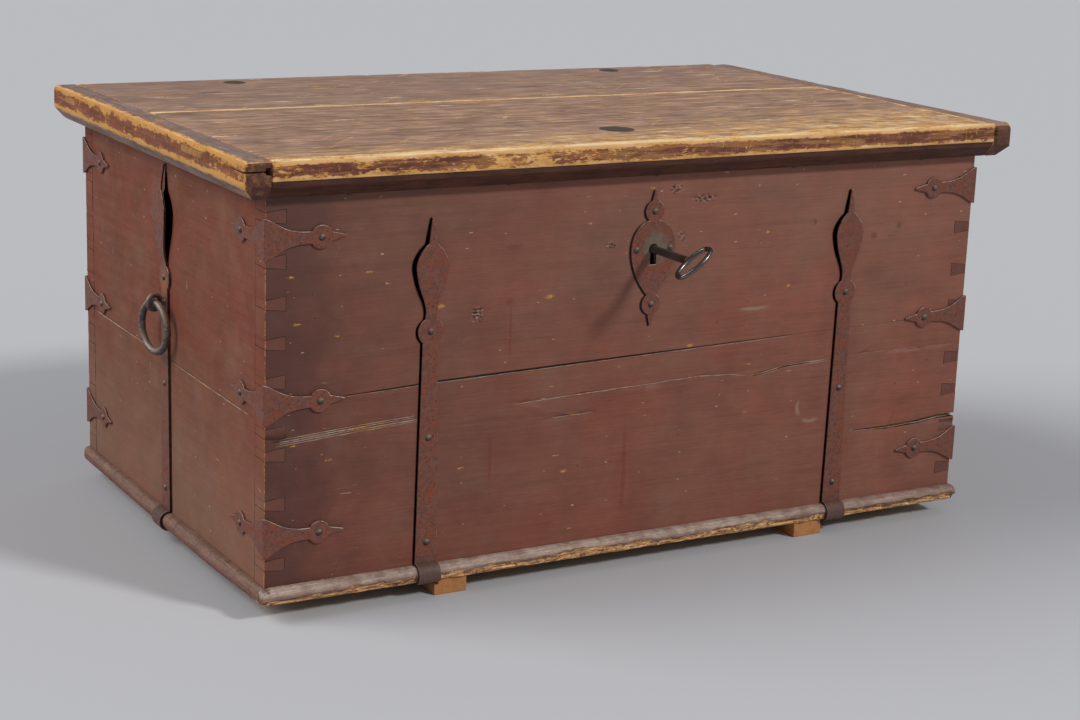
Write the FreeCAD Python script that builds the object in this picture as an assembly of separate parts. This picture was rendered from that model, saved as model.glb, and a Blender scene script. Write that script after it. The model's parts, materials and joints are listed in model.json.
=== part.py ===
"""Painted blanket chest: dovetailed boards, cleated lid, forged straps, ring handles, lock and key.

X runs along the front from the left end to the right end, Y from the front to the back, Z up.
The chest stands on its runners at Z = 0. All lengths are millimetres.
"""
import FreeCAD, Part
import math
import os

V = FreeCAD.Vector
ALONG_X = V(1, 0, 0)
ALONG_Y = V(0, 1, 0)
ALONG_Z = V(0, 0, 1)

# General clearances
overrun = 5.0
board_gap = 0.2
running_clearance = 0.05
moving_gap = 0.4

# Carcass boards
body_width = 1204.0
body_depth = 742.0
body_height = 568.0
front_board_thickness = 34.0
end_board_thickness = 30.0
end_seam_front_height = 233.0
end_seam_rear_height = 242.0
back_seam_height = 300.0
front_seam_shares = ((-1.0, 0.452), (-0.567, 0.471), (-0.15, 0.481), (0.556, 0.498), (1.0, 0.506))

# Cracks in the front, along places given as shares of the half width and of the body height
crack_depth = 8.0
seam_opening = 2.4
fine_crack_width = 1.4
split_crack_width = 2.6
corner_crack_width = 6.0
seam_opening_shares = ((-0.81, 0.46), (-0.567, 0.471), (-0.15, 0.481), (0.45, 0.495))
left_crack_shares = ((-0.98, 0.361), (-0.84, 0.372), (-0.727, 0.379), (-0.61, 0.385))
middle_crack_shares = (
    (-0.373, 0.389), (-0.158, 0.3975), (0.018, 0.402), (0.164, 0.408), (0.264, 0.402), (0.316, 0.393),
)
short_crack_shares = ((-0.276, 0.341), (-0.202, 0.343), (-0.128, 0.344))
knot_crack_shares = ((0.322, 0.39), (0.349, 0.395), (0.426, 0.409), (0.476, 0.412), (0.575, 0.415))
right_crack_shares = ((0.635, 0.4195), (0.861, 0.419), (0.985, 0.4185))
corner_crack_shares = ((0.637, 0.2), (0.773, 0.197), (0.875, 0.201), (0.941, 0.209), (1.02, 0.208))

# Dovetail pins of the end boards: wide at the inner face, narrow at the outer face
pin_wide_height = 20.0
pin_narrow_height = 13.0
left_pin_height_shares = (0.055, 0.207, 0.33, 0.385, 0.51, 0.604, 0.70, 0.80, 0.908)
right_pin_height_shares = (0.055, 0.18, 0.286, 0.38, 0.53, 0.634, 0.755, 0.88)

# Bottom boards and runners
bottom_thickness = 24.0
bottom_overhang = 16.0
bottom_nose_radius_share = 0.46
bottom_joint_shares = (0.246, 0.82)
runner_width = 52.0
runner_height = 24.0
runner_spacing = 633.0
runner_setback = 10.0
runner_notch_clearance = 2.0
end_nail_shares = (0.3, 0.75)
wall_nail_shares = (-0.8, 0.0, 0.8)
runner_nail_shares = (-0.35, 0.0, 0.35)

# Lid: two planks between two grooved cleats, with a strip under the front edge
plank_thickness = 29.0
plank_gap = 1.2
lid_seam_offset = 50.0
lid_front_overhang = 35.0
lid_rear_overhang = 22.0
lid_end_clearance = 5.0
tongue_thickness = 10.0
tongue_length = 9.0
tongue_setback = 24.0
groove_clearance = 0.4
cleat_width = 39.0
cleat_height = 53.0
cleat_chamfer_width = 18.0
cleat_chamfer_height = 20.0
split_length = 77.0
split_gap = 3.0
front_tenon_width = 82.0
rear_tenon_width = 46.0
front_tenon_share = 0.414
rear_tenon_share = 0.75
peg_radius = 5.0
peg_length = 42.0
lip_height = 24.0
lip_setback = 3.0
lip_chamfer = 17.0
lip_clearance = 3.0
lip_nail_shares = (-0.8, -0.4, 0.0, 0.4, 0.8)

# Nails: domed heads on round shanks
nail_head_radius = 5.0
nail_head_height = 2.6
nail_shank_radius = 2.2
strap_nail_length = 27.0
base_nail_length = 46.0
lip_nail_length = 42.0
leaf_nail_length = 24.0
lock_nail_length = 24.0
runner_nail_length = 34.0

# Forged straps on the front and the ends
strap_thickness = 3.5
strap_width = 36.0
strap_neck_width = 25.0
strap_waist_width = 19.0
strap_boss_radius = 20.0
strap_leaf_width = 50.0
strap_spike_width = 13.0
strap_tip_width = 3.0
strap_foot_length = 48.0
strap_boss_share = 0.68
strap_waist_share = 0.75
strap_leaf_share = 0.868
strap_spike_share = 0.928
strap_nail_shares = (0.068, 0.375, 0.68)
leaf_swell_shares = ((0.45, 0.62), (0.78, 0.93))
leaf_shoulder_shares = ((0.5, 0.72),)
front_strap_left_place = 356.0
front_strap_right_place = 361.0
front_strap_drop = 66.0
front_strap_bow = 2.5
end_strap_drop = 38.0
end_strap_bow = 9.0
end_strap_place = 4.0

# Corner irons: one leg on each face of the corner
iron_thickness = 3.2
iron_height = 58.0
iron_length = 117.0
iron_neck_height = 17.0
iron_neck_share = 0.52
iron_boss_radius = 16.5
iron_boss_share = 0.685
iron_tip_root_height = 13.0
iron_tip_height = 3.0
iron_flare_shares = ((0.1, 0.86), (0.45, 0.3))
left_iron_height_shares = (0.125, 0.456, 0.855)
right_iron_height_shares = (0.125, 0.506, 0.872)

# Ring handles
eye_height_share = 0.57
eye_bar_radius = 4.0
eye_hole_radius = 6.5
eye_shank_radius = 5.0
eye_turn_angle = 10.0
rove_radius = 12.0
rove_thickness = 3.0
ring_bar_radius = 5.5
ring_centre_radius = 37.0

# Strap hinges
hinge_width = 40.0
hinge_pin_radius = 4.0
hinge_wall = 4.0
hinge_foot_width = 36.0
hinge_leaf_length = 330.0
hinge_leaf_thickness = 4.0
hinge_leaf_end_width = 26.0
hinge_knuckle_share = 0.36
hinge_head_radius = 6.0
hinge_head_length = 2.0
hinge_nail_shares = (0.07, 0.4, 0.8)
hinge_leaf_nail_shares = (0.3, 0.6, 0.93)
hinge_notch_clearance = 0.6
hinge_rivet_inset = 44.0
rivet_radius = 4.5
rivet_head_height = 2.4
hinge_rivet_head_radius = 18.0
hasp_rivet_head_radius = 26.0

# Escutcheon and keyhole
lock_place = 5.0
keyhole_drop = 135.0
keyhole_radius = 7.5
keyhole_slot_width = 10.0
keyhole_slot_depth = 23.0
keyhole_board_clearance = 2.5
escutcheon_thickness = 2.5
escutcheon_width = 76.0
escutcheon_rise = 87.0
escutcheon_fall = 114.0
escutcheon_boss_radius = 16.0
escutcheon_neck_width = 17.0
escutcheon_tip_root_width = 11.0
escutcheon_tip_width = 3.0
escutcheon_top_boss_share = 0.645
escutcheon_low_boss_share = 0.72
escutcheon_body_shares = ((0.62, -0.42), (0.95, -0.15), (1.0, 0.02), (0.86, 0.27))
escutcheon_nail_share = 0.76

# Lock on the inner face of the front board
lock_width = 150.0
lock_wall = 3.0
lock_depth = 34.0
lock_top_drop = 14.0
lock_bottom_drop = 40.0
lock_side_share = 0.47
lock_flange = 14.0
hasp_offset = 17.0
hasp_thickness = 6.0
hasp_width = 18.0
hasp_length = 64.0
hasp_hole_width = 11.0
hasp_hole_height = 16.0
hasp_hole_rise = 16.0
hasp_plate_width = 44.0
hasp_plate_length = 76.0
hasp_plate_thickness = 4.0
hasp_slot_clearance = 4.0
hasp_rivet_inset = 86.0
bolt_thickness = 7.5
bolt_body_length = 64.0
bolt_body_height = 51.0
bolt_arm_length = 36.0
bolt_finger_height = 10.0
bolt_finger_clearance = 4.0
bolt_rise = 13.5
bolt_throw = 18.0
talon_width = 28.0
talon_height = 11.0
talon_share = 0.35
stud_radius = 4.0
stud_spacing = 28.0

# Key, standing in the lock with its bit and bow turned
key_shaft_radius = 6.0
key_bit_reach = 21.0
key_bit_thickness = 6.0
key_bit_length = 14.0
key_pivot_radius = 4.0
key_pivot_length = 5.0
key_reach = 90.0
key_bow_width = 68.0
key_bow_depth = 38.0
key_bow_bar_radius = 3.5
key_bow_end_radius_share = 0.72
key_turn_angle = 37.0

# Levels and faces worked out from the sizes above
half_width = body_width / 2
half_depth = body_depth / 2
base_under = runner_height
base_top = runner_height + bottom_thickness
rim = base_top + body_height
lid_top = rim + plank_thickness
front_face = -half_depth
back_face = half_depth
front_inner = front_face + front_board_thickness
back_inner = back_face - front_board_thickness
end_inner = half_width - end_board_thickness
nose_radius = bottom_thickness * bottom_nose_radius_share
plank_end = half_width + lid_end_clearance
lid_end = plank_end + cleat_width
lid_front = front_face - lid_front_overhang
lid_rear = back_face + lid_rear_overhang
strap_outer = board_gap + strap_thickness
front_strap_tip = body_height - front_strap_drop
end_strap_tip = body_height - end_strap_drop
front_strap_places = (-front_strap_left_place, front_strap_right_place)
knuckle_radius = hinge_pin_radius + hinge_wall
hinge_y = back_face + moving_gap + knuckle_radius
hinge_z = rim - moving_gap - knuckle_radius
keyhole_z = rim - keyhole_drop
lock_back = front_inner + lock_depth
lock_top = rim - lock_top_drop
lock_bottom = keyhole_z - lock_bottom_drop
lock_left = lock_place - lock_width * lock_side_share
lock_right = lock_left + lock_width
bolt_y = front_inner + lock_depth / 2 - lock_wall / 2
hasp_x = lock_place - hasp_offset
eye_out = strap_outer + moving_gap + eye_hole_radius + 2 * eye_bar_radius
eye_z = base_top + body_height * eye_height_share
ring_drop = eye_hole_radius - ring_bar_radius - moving_gap
bow_half_depth = key_bow_depth / 2 - key_bow_bar_radius
bow_half_width = key_bow_width / 2 - key_bow_bar_radius
key_front = front_face - key_reach - key_bow_depth
origin_shift = V(0, -(key_front + lid_rear) / 2, 0)


# Shape helpers

def block(x_range, y_range, z_range):
    """Box between two values along each axis."""
    low = V(x_range[0], y_range[0], z_range[0])
    size_x = x_range[1] - x_range[0]
    size_y = y_range[1] - y_range[0]
    size_z = z_range[1] - z_range[0]
    return Part.makeBox(size_x, size_y, size_z, low)


def prism(points, sweep):
    """Solid made by sweeping a polygon along a vector."""
    return Part.Face(Part.makePolygon(points + [points[0]])).extrude(sweep)


def span(centre, width):
    """Pair of values a width apart about a centre."""
    return (centre - width / 2, centre + width / 2)


def run_edge(points, kind):
    """One edge of an outline: a line, an arc through three points, or a smooth curve."""
    if kind == "line":
        return Part.LineSegment(points[0], points[1]).toShape()
    if kind == "arc":
        return Part.Arc(points[0], points[1], points[2]).toShape()
    curve = Part.BSplineCurve()
    curve.interpolate(points)
    return curve.toShape()


def mirrored_face(runs):
    """Face in the XZ plane from the right half of an outline, given from bottom to top."""
    edges = []
    for side in (1, -1):
        for kind, places in runs:
            edges.append(run_edge([V(side * x, 0, z) for x, z in places], kind))
    low_x, low_z = runs[0][1][0]
    top_x, top_z = runs[-1][1][-1]
    edges.append(run_edge([V(-low_x, 0, low_z), V(low_x, 0, low_z)], "line"))
    edges.append(run_edge([V(-top_x, 0, top_z), V(top_x, 0, top_z)], "line"))
    return Part.Face(Part.Wire(Part.__sortEdges__(edges)))


def boss_arc(centre_z, radius, low_half, top_half):
    """Run of an outline round a boss, from the width below it to the width above it."""
    low_z = centre_z - math.sqrt(radius ** 2 - low_half ** 2)
    top_z = centre_z + math.sqrt(radius ** 2 - top_half ** 2)
    return ("arc", [(low_half, low_z), (radius, centre_z), (top_half, top_z)])


def turned(shape, angle, place):
    """Copy of a shape, turned about Z and moved to a place."""
    copy = shape.copy()
    copy.Placement = FreeCAD.Placement(place, FreeCAD.Rotation(ALONG_Z, angle))
    return copy


# Nails

def nail_blank(length):
    """Domed nail along Z, its head seated at Z = 0 and its shank below."""
    crown = V(0, 0, nail_head_height)
    rim_point = V(nail_head_radius, 0, 0)
    shoulder = V(nail_head_radius * math.sqrt(0.5), 0, nail_head_height * math.sqrt(0.5))
    corner = V(nail_shank_radius, 0, 0)
    shank_end = V(nail_shank_radius, 0, nail_shank_radius * 2 - length)
    point = V(0, 0, -length)
    edges = [Part.Arc(crown, shoulder, rim_point).toShape()]
    stops = [rim_point, corner, shank_end, point, crown]
    for start, stop in zip(stops, stops[1:]):
        edges.append(Part.LineSegment(start, stop).toShape())
    return Part.Face(Part.Wire(edges)).revolve(V(0, 0, 0), ALONG_Z, 360)


def stand(shape, place, outward):
    """Copy of a shape made along Z, set at a place with Z turned outward."""
    copy = shape.copy()
    copy.Placement = FreeCAD.Placement(place, FreeCAD.Rotation(ALONG_Z, outward))
    return copy


def nail_group(nails, length):
    """All nails of one group as separate solids."""
    blank = nail_blank(length)
    return Part.makeCompound([stand(blank, place, outward) for place, outward in nails])


def drilled(shape, nails, length):
    """Shape with a shank hole for each nail that reaches it."""
    radius = nail_shank_radius + running_clearance
    hole = Part.makeCylinder(radius, length + overrun, V(0, 0, -length))
    for place, outward in nails:
        cutter = stand(hole, place, outward)
        if cutter.BoundBox.intersect(shape.BoundBox):
            shape = shape.cut(cutter)
    return shape


def strap_nails():
    """Nails of the front and end straps."""
    nails = []
    for share in strap_nail_shares:
        for x in front_strap_places:
            z = base_top + front_strap_tip * share
            nails.append((V(x, front_face - strap_outer, z), -ALONG_Y))
        for side in (-1, 1):
            z = base_top + end_strap_tip * share
            nails.append((V(side * (half_width + strap_outer), end_strap_place, z), ALONG_X * side))
    return nails


def corner_places():
    """Each corner iron's name, sides and height."""
    places = []
    levels = ("low", "middle", "top")
    sides = ((-1, "left", left_iron_height_shares), (1, "right", right_iron_height_shares))
    for side, side_name, shares in sides:
        for depth, depth_name in ((-1, "front"), (1, "back")):
            for level, share in zip(levels, shares):
                name = f"corner_iron_{depth_name}_{side_name}_{level}"
                places.append((name, side, depth, base_top + body_height * share))
    return places


def corner_iron_nails():
    """One nail in the boss of each leg of each corner iron."""
    nails = []
    boss = iron_length * iron_boss_share
    seat = board_gap + iron_thickness
    for name, side, depth, z in corner_places():
        nails.append((V(side * (half_width - boss), depth * (half_depth + seat), z), ALONG_Y * depth))
        nails.append((V(side * (half_width + seat), depth * (half_depth - boss), z), ALONG_X * side))
    return nails


def hinge_strap_nails():
    """Nails of the hinge straps down the back."""
    nails = []
    for x in front_strap_places:
        for share in hinge_nail_shares:
            z = base_top + body_height * share
            nails.append((V(x, back_face + strap_outer, z), ALONG_Y))
    return nails


def hinge_leaf_nails():
    """Nails of the hinge leaves up into the lid."""
    nails = []
    for x in front_strap_places:
        for share in hinge_leaf_nail_shares:
            y = hinge_y - hinge_leaf_length * share
            nails.append((V(x, y, rim - hinge_leaf_thickness), -ALONG_Z))
    return nails


def escutcheon_nails():
    """Nails of the escutcheon: one in each boss and one each side of the keyhole."""
    y = front_face - board_gap - escutcheon_thickness
    reach = escutcheon_width / 2 * escutcheon_nail_share
    top = escutcheon_rise * escutcheon_top_boss_share
    low = escutcheon_fall * escutcheon_low_boss_share
    places = ((0, top), (0, -low), (reach, 0), (-reach, 0))
    return [(V(lock_place + x, y, keyhole_z + z), -ALONG_Y) for x, z in places]


def lock_nails():
    """Nails through the flanges of the lock plate."""
    y = front_inner + lock_wall
    nails = []
    for x in (lock_left - lock_flange / 2, lock_right + lock_flange / 2):
        for z in (lock_bottom + lock_flange, lock_top - lock_flange):
            nails.append((V(x, y, z), ALONG_Y))
    return nails


def lip_nails():
    """Nails up through the strip under the lid's front edge."""
    y = (lid_front + lip_setback + lip_chamfer + front_face - lip_clearance) / 2
    return [(V(plank_end * share, y, rim - lip_height), -ALONG_Z) for share in lip_nail_shares]


def base_nails():
    """Nails up through the bottom boards into the walls, and up through the runners."""
    nails = []
    bottom_front = front_face - bottom_overhang
    depth = back_face - bottom_front
    stops = (0,) + bottom_joint_shares + (1,)
    for low, high in zip(stops, stops[1:]):
        for share in end_nail_shares:
            y = bottom_front + depth * (low + (high - low) * share)
            for side in (-1, 1):
                nails.append((V(side * (half_width - end_board_thickness / 2), y, base_under), -ALONG_Z))
    wall_y = half_depth - front_board_thickness / 2
    for share in wall_nail_shares:
        nails.append((V(half_width * share, -wall_y, base_under), -ALONG_Z))
        nails.append((V(half_width * share, wall_y, base_under), -ALONG_Z))
    return nails


def runner_nails():
    """Nails up through the runners into the bottom boards, heads sunk in the runners."""
    nails = []
    sink = nail_head_height + board_gap
    for side in (-1, 1):
        for share in runner_nail_shares:
            nails.append((V(side * runner_spacing / 2, body_depth * share, sink), -ALONG_Z))
    return nails


def base_nail_group():
    """Nails of the bottom boards and the runners together."""
    bottom = nail_group(base_nails(), base_nail_length)
    runners = nail_group(runner_nails(), runner_nail_length)
    return Part.makeCompound(bottom.Solids + runners.Solids)


# Carcass boards

def dovetail_pins(side, gap):
    """Pins of one end board, through the front and the back board, grown by a gap."""
    shares = left_pin_height_shares if side < 0 else right_pin_height_shares
    outer = side * (half_width + gap)
    inner = side * (end_inner - gap)
    wide = pin_wide_height / 2 + gap
    narrow = pin_narrow_height / 2 + gap
    length = front_board_thickness + overrun
    pins = []
    for share in shares:
        z = base_top + body_height * share
        corners = [(outer, z - narrow), (outer, z + narrow), (inner, z + wide), (inner, z - wide)]
        for start in (front_face, back_inner - overrun):
            points = [V(x, start, level) for x, level in corners]
            pins.append(prism(points, ALONG_Y * length))
    return pins


def front_places(shares):
    """Places on the front as X and Z, from shares of the half width and of the body height."""
    return [(half_width * across, base_top + body_height * rise) for across, rise in shares]


def seam_cut(board, line, far, upper, across, sweep):
    """The part of a wall above or below a seam that runs along a line of places, out to a far edge."""
    shift = board_gap / 2 if upper else -board_gap / 2
    limit = rim + overrun if upper else base_top - overrun
    edge = [(-far, line[0][1])] + line + [(far, line[-1][1])]
    corners = [(u, z + shift) for u, z in edge] + [(far, limit), (-far, limit)]
    points = [across * u + ALONG_Z * z - sweep / 2 for u, z in corners]
    return board.common(prism(points, sweep))


def crack(shares, width, open_end=False):
    """Groove in the front face along a line of places, pointed at its ends or open at the far one."""
    places = front_places(shares)
    inner = places[1:] if open_end else places[1:-1]
    tip = [] if open_end else places[-1:]
    low_side = [(x, z - width / 2) for x, z in inner]
    high_side = [(x, z + width / 2) for x, z in reversed(inner)]
    outline = places[:1] + low_side + tip + high_side
    points = [V(x, front_face - overrun, z) for x, z in outline]
    return prism(points, ALONG_Y * (overrun + crack_depth))


def front_cracks():
    """All cracks of the front boards, with the stretch where their seam stands open."""
    return [
        crack(seam_opening_shares, seam_opening),
        crack(left_crack_shares, split_crack_width),
        crack(middle_crack_shares, fine_crack_width),
        crack(short_crack_shares, fine_crack_width),
        crack(knot_crack_shares, split_crack_width),
        crack(right_crack_shares, fine_crack_width),
        crack(corner_crack_shares, corner_crack_width, open_end=True),
    ]


def keyhole_cutter(start, stop, clearance):
    """Keyhole through a wall: a round hole with a slot below it."""
    radius = keyhole_radius + clearance
    centre = V(lock_place, start, keyhole_z)
    hole = Part.makeCylinder(radius, stop - start, centre, ALONG_Y)
    slot_width = keyhole_slot_width + 2 * clearance
    slot_z = (keyhole_z - keyhole_slot_depth - clearance, keyhole_z)
    return hole.fuse(block(span(lock_place, slot_width), (start, stop), slot_z))


def front_board(upper):
    """Upper or lower front board, with sockets for the pins and the keyhole."""
    y_range = (front_face, front_inner)
    board = block((-half_width, half_width), y_range, (base_top, rim))
    sockets = dovetail_pins(-1, board_gap) + dovetail_pins(1, board_gap)
    board = board.cut(Part.makeCompound(sockets))
    seam = front_places(front_seam_shares)
    board = seam_cut(board, seam, half_width + overrun, upper, ALONG_X, ALONG_Y * (2 * body_depth))
    board = board.cut(Part.makeCompound(front_cracks()))
    if upper:
        bore = keyhole_cutter(front_face - overrun, front_inner + overrun, keyhole_board_clearance)
        board = board.cut(bore)
    board = drilled(board, strap_nails() + corner_iron_nails() + escutcheon_nails(), strap_nail_length)
    board = drilled(board, lock_nails(), lock_nail_length)
    return drilled(board, base_nails(), base_nail_length)


def back_board(upper):
    """Upper or lower back board, notched at the top for the hinge leaves."""
    y_range = (back_inner, back_face)
    board = block((-half_width, half_width), y_range, (base_top, rim))
    sockets = dovetail_pins(-1, board_gap) + dovetail_pins(1, board_gap)
    board = board.cut(Part.makeCompound(sockets))
    seam = [(0, base_top + back_seam_height)]
    board = seam_cut(board, seam, half_width + overrun, upper, ALONG_X, ALONG_Y * (2 * body_depth))
    if upper:
        width = hinge_width + 2 * hinge_notch_clearance
        notch_z = (rim - hinge_leaf_thickness - hinge_notch_clearance, rim + overrun)
        for x in front_strap_places:
            board = board.cut(block(span(x, width), (back_inner - overrun, back_face + overrun), notch_z))
    board = drilled(board, hinge_strap_nails() + corner_iron_nails(), strap_nail_length)
    return drilled(board, base_nails(), base_nail_length)


def end_board(side, upper):
    """Upper or lower board of one end, with its dovetail pins."""
    x_range = sorted((side * half_width, side * end_inner))
    board = block(x_range, (front_inner + board_gap, back_inner - board_gap), (base_top, rim))
    board = board.fuse(dovetail_pins(side, 0))
    board = board.common(block(x_range, (front_face, back_face), (base_top, rim))).removeSplitter()
    seam = [(front_face, base_top + end_seam_front_height), (back_face, base_top + end_seam_rear_height)]
    board = seam_cut(board, seam, half_depth + overrun, upper, ALONG_Y, ALONG_X * (2 * body_width))
    board = drilled(board, strap_nails() + corner_iron_nails(), strap_nail_length)
    board = drilled(board, base_nails(), base_nail_length)
    return board.cut(eye_shank(side, running_clearance))


# Bottom boards and runners

def bottom_panel():
    """All bottom boards together: rounded at the front and the ends, square at the back."""
    front = front_face - bottom_overhang
    side = half_width + bottom_overhang
    panel = block((-side, side), (front, back_face), (base_under, base_top))
    round_edges = []
    for edge in panel.Edges:
        box = edge.BoundBox
        level = box.ZLength < overrun
        at_back = box.YMin > back_face - overrun
        if level and not at_back:
            round_edges.append(edge)
    return panel.makeFillet(nose_radius, round_edges)


def bottom_board(index):
    """One bottom board, counted from the front."""
    front = front_face - bottom_overhang
    depth = back_face - front
    stops = (0,) + bottom_joint_shares + (1,)
    low = front + depth * stops[index] + (board_gap / 2 if index else 0)
    high = front + depth * stops[index + 1] - (board_gap / 2 if stops[index + 1] < 1 else 0)
    side = half_width + bottom_overhang
    board = bottom_panel().common(block((-side, side), (low, high), (base_under, base_top)))
    board = drilled(board, base_nails(), base_nail_length)
    return drilled(board, runner_nails(), runner_nail_length)


def runner(side):
    """Runner under the bottom, notched where a strap's foot turns under."""
    front = front_face - bottom_overhang + runner_setback
    bar_x = span(side * runner_spacing / 2, runner_width)
    bar = block(bar_x, (front, back_face - runner_setback), (0, base_under))
    clear = runner_notch_clearance
    foot_depth = base_under - strap_outer - nail_head_height - clear
    for x in front_strap_places:
        x_range = span(x, strap_width + 2 * clear)
        front_range = (front - overrun, front_face + strap_foot_length + clear)
        bar = bar.cut(block(x_range, front_range, (foot_depth, base_top)))
        back_range = (back_face - strap_foot_length - clear, back_face + overrun)
        bar = bar.cut(block(x_range, back_range, (foot_depth, base_top)))
    bar = drilled(bar, runner_nails(), runner_nail_length)
    for place, outward in runner_nails():
        foot = V(place.x, place.y, -overrun)
        bar = bar.cut(Part.makeCylinder(nail_head_radius + board_gap, place.z + overrun, foot))
    return bar


# Straps

def strap_outline(tip):
    """Front view of a strap that ends in a boss, a leaf and a spike, up to its tip height."""
    low = base_under - strap_outer - overrun
    boss_z = base_top + tip * strap_boss_share
    waist_z = base_top + tip * strap_waist_share
    leaf_z = base_top + tip * strap_leaf_share
    spike_z = base_top + tip * strap_spike_share
    neck = strap_neck_width / 2
    waist = strap_waist_width / 2
    leaf = strap_leaf_width / 2
    spike = strap_spike_width / 2
    boss = boss_arc(boss_z, strap_boss_radius, neck, waist)
    swell = [boss[1][-1], (waist, waist_z)]
    for rise, widen in leaf_swell_shares:
        swell.append((waist + (leaf - waist) * widen, waist_z + (leaf_z - waist_z) * rise))
    swell.append((leaf, leaf_z))
    for rise, narrow in leaf_shoulder_shares:
        swell.append((spike + (leaf - spike) * narrow, leaf_z + (spike_z - leaf_z) * rise))
    swell.append((spike, spike_z))
    point = (strap_tip_width / 2, base_top + tip)
    return mirrored_face([
        ("line", [(strap_width / 2, low), boss[1][0]]),
        boss,
        ("curve", swell),
        ("line", [(spike, spike_z), point]),
    ])


def strap_path(out, top, bow_start, bow):
    """Edges of one side of a strap seen from its edge, from the foot to the tip, at a distance out."""
    nose = bottom_overhang - nose_radius
    reach = bottom_overhang + out
    bend = (nose_radius + out) * math.sqrt(0.5)
    low_z = base_under + nose_radius
    high_z = base_top - nose_radius
    crown = (bow_start + top) / 2
    places = [
        ("line", [(-strap_foot_length, base_under - out), (nose, base_under - out)]),
        ("arc", [(nose, base_under - out), (nose + bend, low_z - bend), (reach, low_z)]),
        ("line", [(reach, low_z), (reach, high_z)]),
        ("arc", [(reach, high_z), (nose + bend, high_z + bend), (nose, base_top + out)]),
        ("line", [(nose, base_top + out), (out, base_top + out)]),
        ("line", [(out, base_top + out), (out, bow_start)]),
        ("arc", [(out, bow_start), (out + bow, crown), (out, top)]),
    ]
    return places


def nosed_strap(tip, bow):
    """Strap at X = 0 on a wall at Y = 0: bowed at the top, bent over the bottom's nose, turned under."""
    top = base_top + tip
    bow_start = base_top + tip * strap_boss_share + strap_boss_radius
    edges = []
    ends = []
    for out in (board_gap, strap_outer):
        path = strap_path(out, top, bow_start, bow)
        for kind, places in path:
            edges.append(run_edge([V(-strap_leaf_width, -d, z) for d, z in places], kind))
        ends.append((path[0][1][0], path[-1][1][-1]))
    for inner, outer in zip(ends[0], ends[1]):
        edges.append(run_edge([V(-strap_leaf_width, -d, z) for d, z in (inner, outer)], "line"))
    band = Part.Face(Part.Wire(Part.__sortEdges__(edges))).extrude(ALONG_X * (2 * strap_leaf_width))
    depth = bottom_overhang + strap_foot_length + bow + strap_outer + overrun
    front_view = strap_outline(tip)
    front_view.translate(ALONG_Y * -depth)
    return band.common(front_view.extrude(ALONG_Y * (2 * depth)))


def front_strap(x):
    """Strap up the front."""
    strap = turned(nosed_strap(front_strap_tip, front_strap_bow), 0, V(x, front_face, 0))
    return drilled(strap, strap_nails(), strap_nail_length)


def end_strap(side):
    """Strap up one end, with a hole for the handle's eye."""
    place = V(side * half_width, end_strap_place, 0)
    strap = turned(nosed_strap(end_strap_tip, end_strap_bow), side * 90, place)
    strap = drilled(strap, strap_nails(), strap_nail_length)
    return strap.cut(eye_shank(side, running_clearance))


# Corner irons

def iron_leg():
    """One leg of a corner iron, in the XZ plane, from the corner at X = 0 towards +X."""
    neck = iron_neck_height / 2
    neck_u = iron_length * iron_neck_share
    boss = boss_arc(iron_length * iron_boss_share, iron_boss_radius, neck, iron_tip_root_height / 2)
    root = iron_height / 2
    flare = [(root, 0)]
    for along, widen in iron_flare_shares:
        flare.append((neck + (root - neck) * widen, neck_u * along))
    flare.append((neck, neck_u))
    flare.append(boss[1][0])
    face = mirrored_face([
        ("line", [(root, -board_gap - iron_thickness), (root, 0)]),
        ("curve", flare),
        boss,
        ("line", [boss[1][-1], (iron_tip_height / 2, iron_length)]),
    ])
    face.rotate(V(0, 0, 0), ALONG_Y, 90)
    return face


def corner_iron(side, depth, z):
    """Corner iron bent round one corner."""
    front_leg = iron_leg()
    front_leg.translate(ALONG_Y * (-board_gap - iron_thickness))
    front_leg = front_leg.extrude(ALONG_Y * iron_thickness)
    end_leg = front_leg.mirror(V(0, 0, 0), V(1, -1, 0))
    iron = front_leg.fuse(end_leg)
    if side > 0:
        iron = iron.mirror(V(0, 0, 0), ALONG_X)
    if depth > 0:
        iron = iron.mirror(V(0, 0, 0), ALONG_Y)
    iron.translate(V(side * half_width, depth * half_depth, z))
    return drilled(iron, corner_iron_nails(), strap_nail_length)


# Ring handles

def eye_centre(side):
    """Centre of the eye on one end."""
    return V(side * (half_width + eye_out), end_strap_place, eye_z)


def eye_shank(side, clearance):
    """Shank of an eye through the strap and the end board, grown by a clearance."""
    start = V(side * (half_width + eye_out - eye_hole_radius - eye_bar_radius), end_strap_place, eye_z)
    length = abs(start.x) - end_inner + rove_thickness
    return Part.makeCylinder(eye_shank_radius + clearance, length, start, ALONG_X * -side)


def handle_eye(side):
    """Forged eye with its shank, clenched over a round plate inside."""
    centre = eye_centre(side)
    eye = Part.makeTorus(eye_hole_radius + eye_bar_radius, eye_bar_radius, centre, ALONG_Y)
    eye.rotate(centre, ALONG_Z, -side * eye_turn_angle)
    plate_start = V(side * end_inner, end_strap_place, eye_z)
    plate = Part.makeCylinder(rove_radius, rove_thickness, plate_start, ALONG_X * -side)
    return eye.fuse(eye_shank(side, 0)).fuse(plate)


def handle_ring(side):
    """Ring that hangs in the eye."""
    centre = eye_centre(side)
    ring_centre = centre - ALONG_Z * (ring_drop + ring_centre_radius)
    ring = Part.makeTorus(ring_centre_radius, ring_bar_radius, ring_centre, ALONG_X)
    ring.rotate(centre, ALONG_Z, -side * eye_turn_angle)
    return ring


# Strap hinges

def hinge_barrel(x_range, radius):
    """Round length along the hinge's axis."""
    start = V(x_range[0], hinge_y, hinge_z)
    return Part.makeCylinder(radius, x_range[1] - x_range[0], start, ALONG_X)


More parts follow.
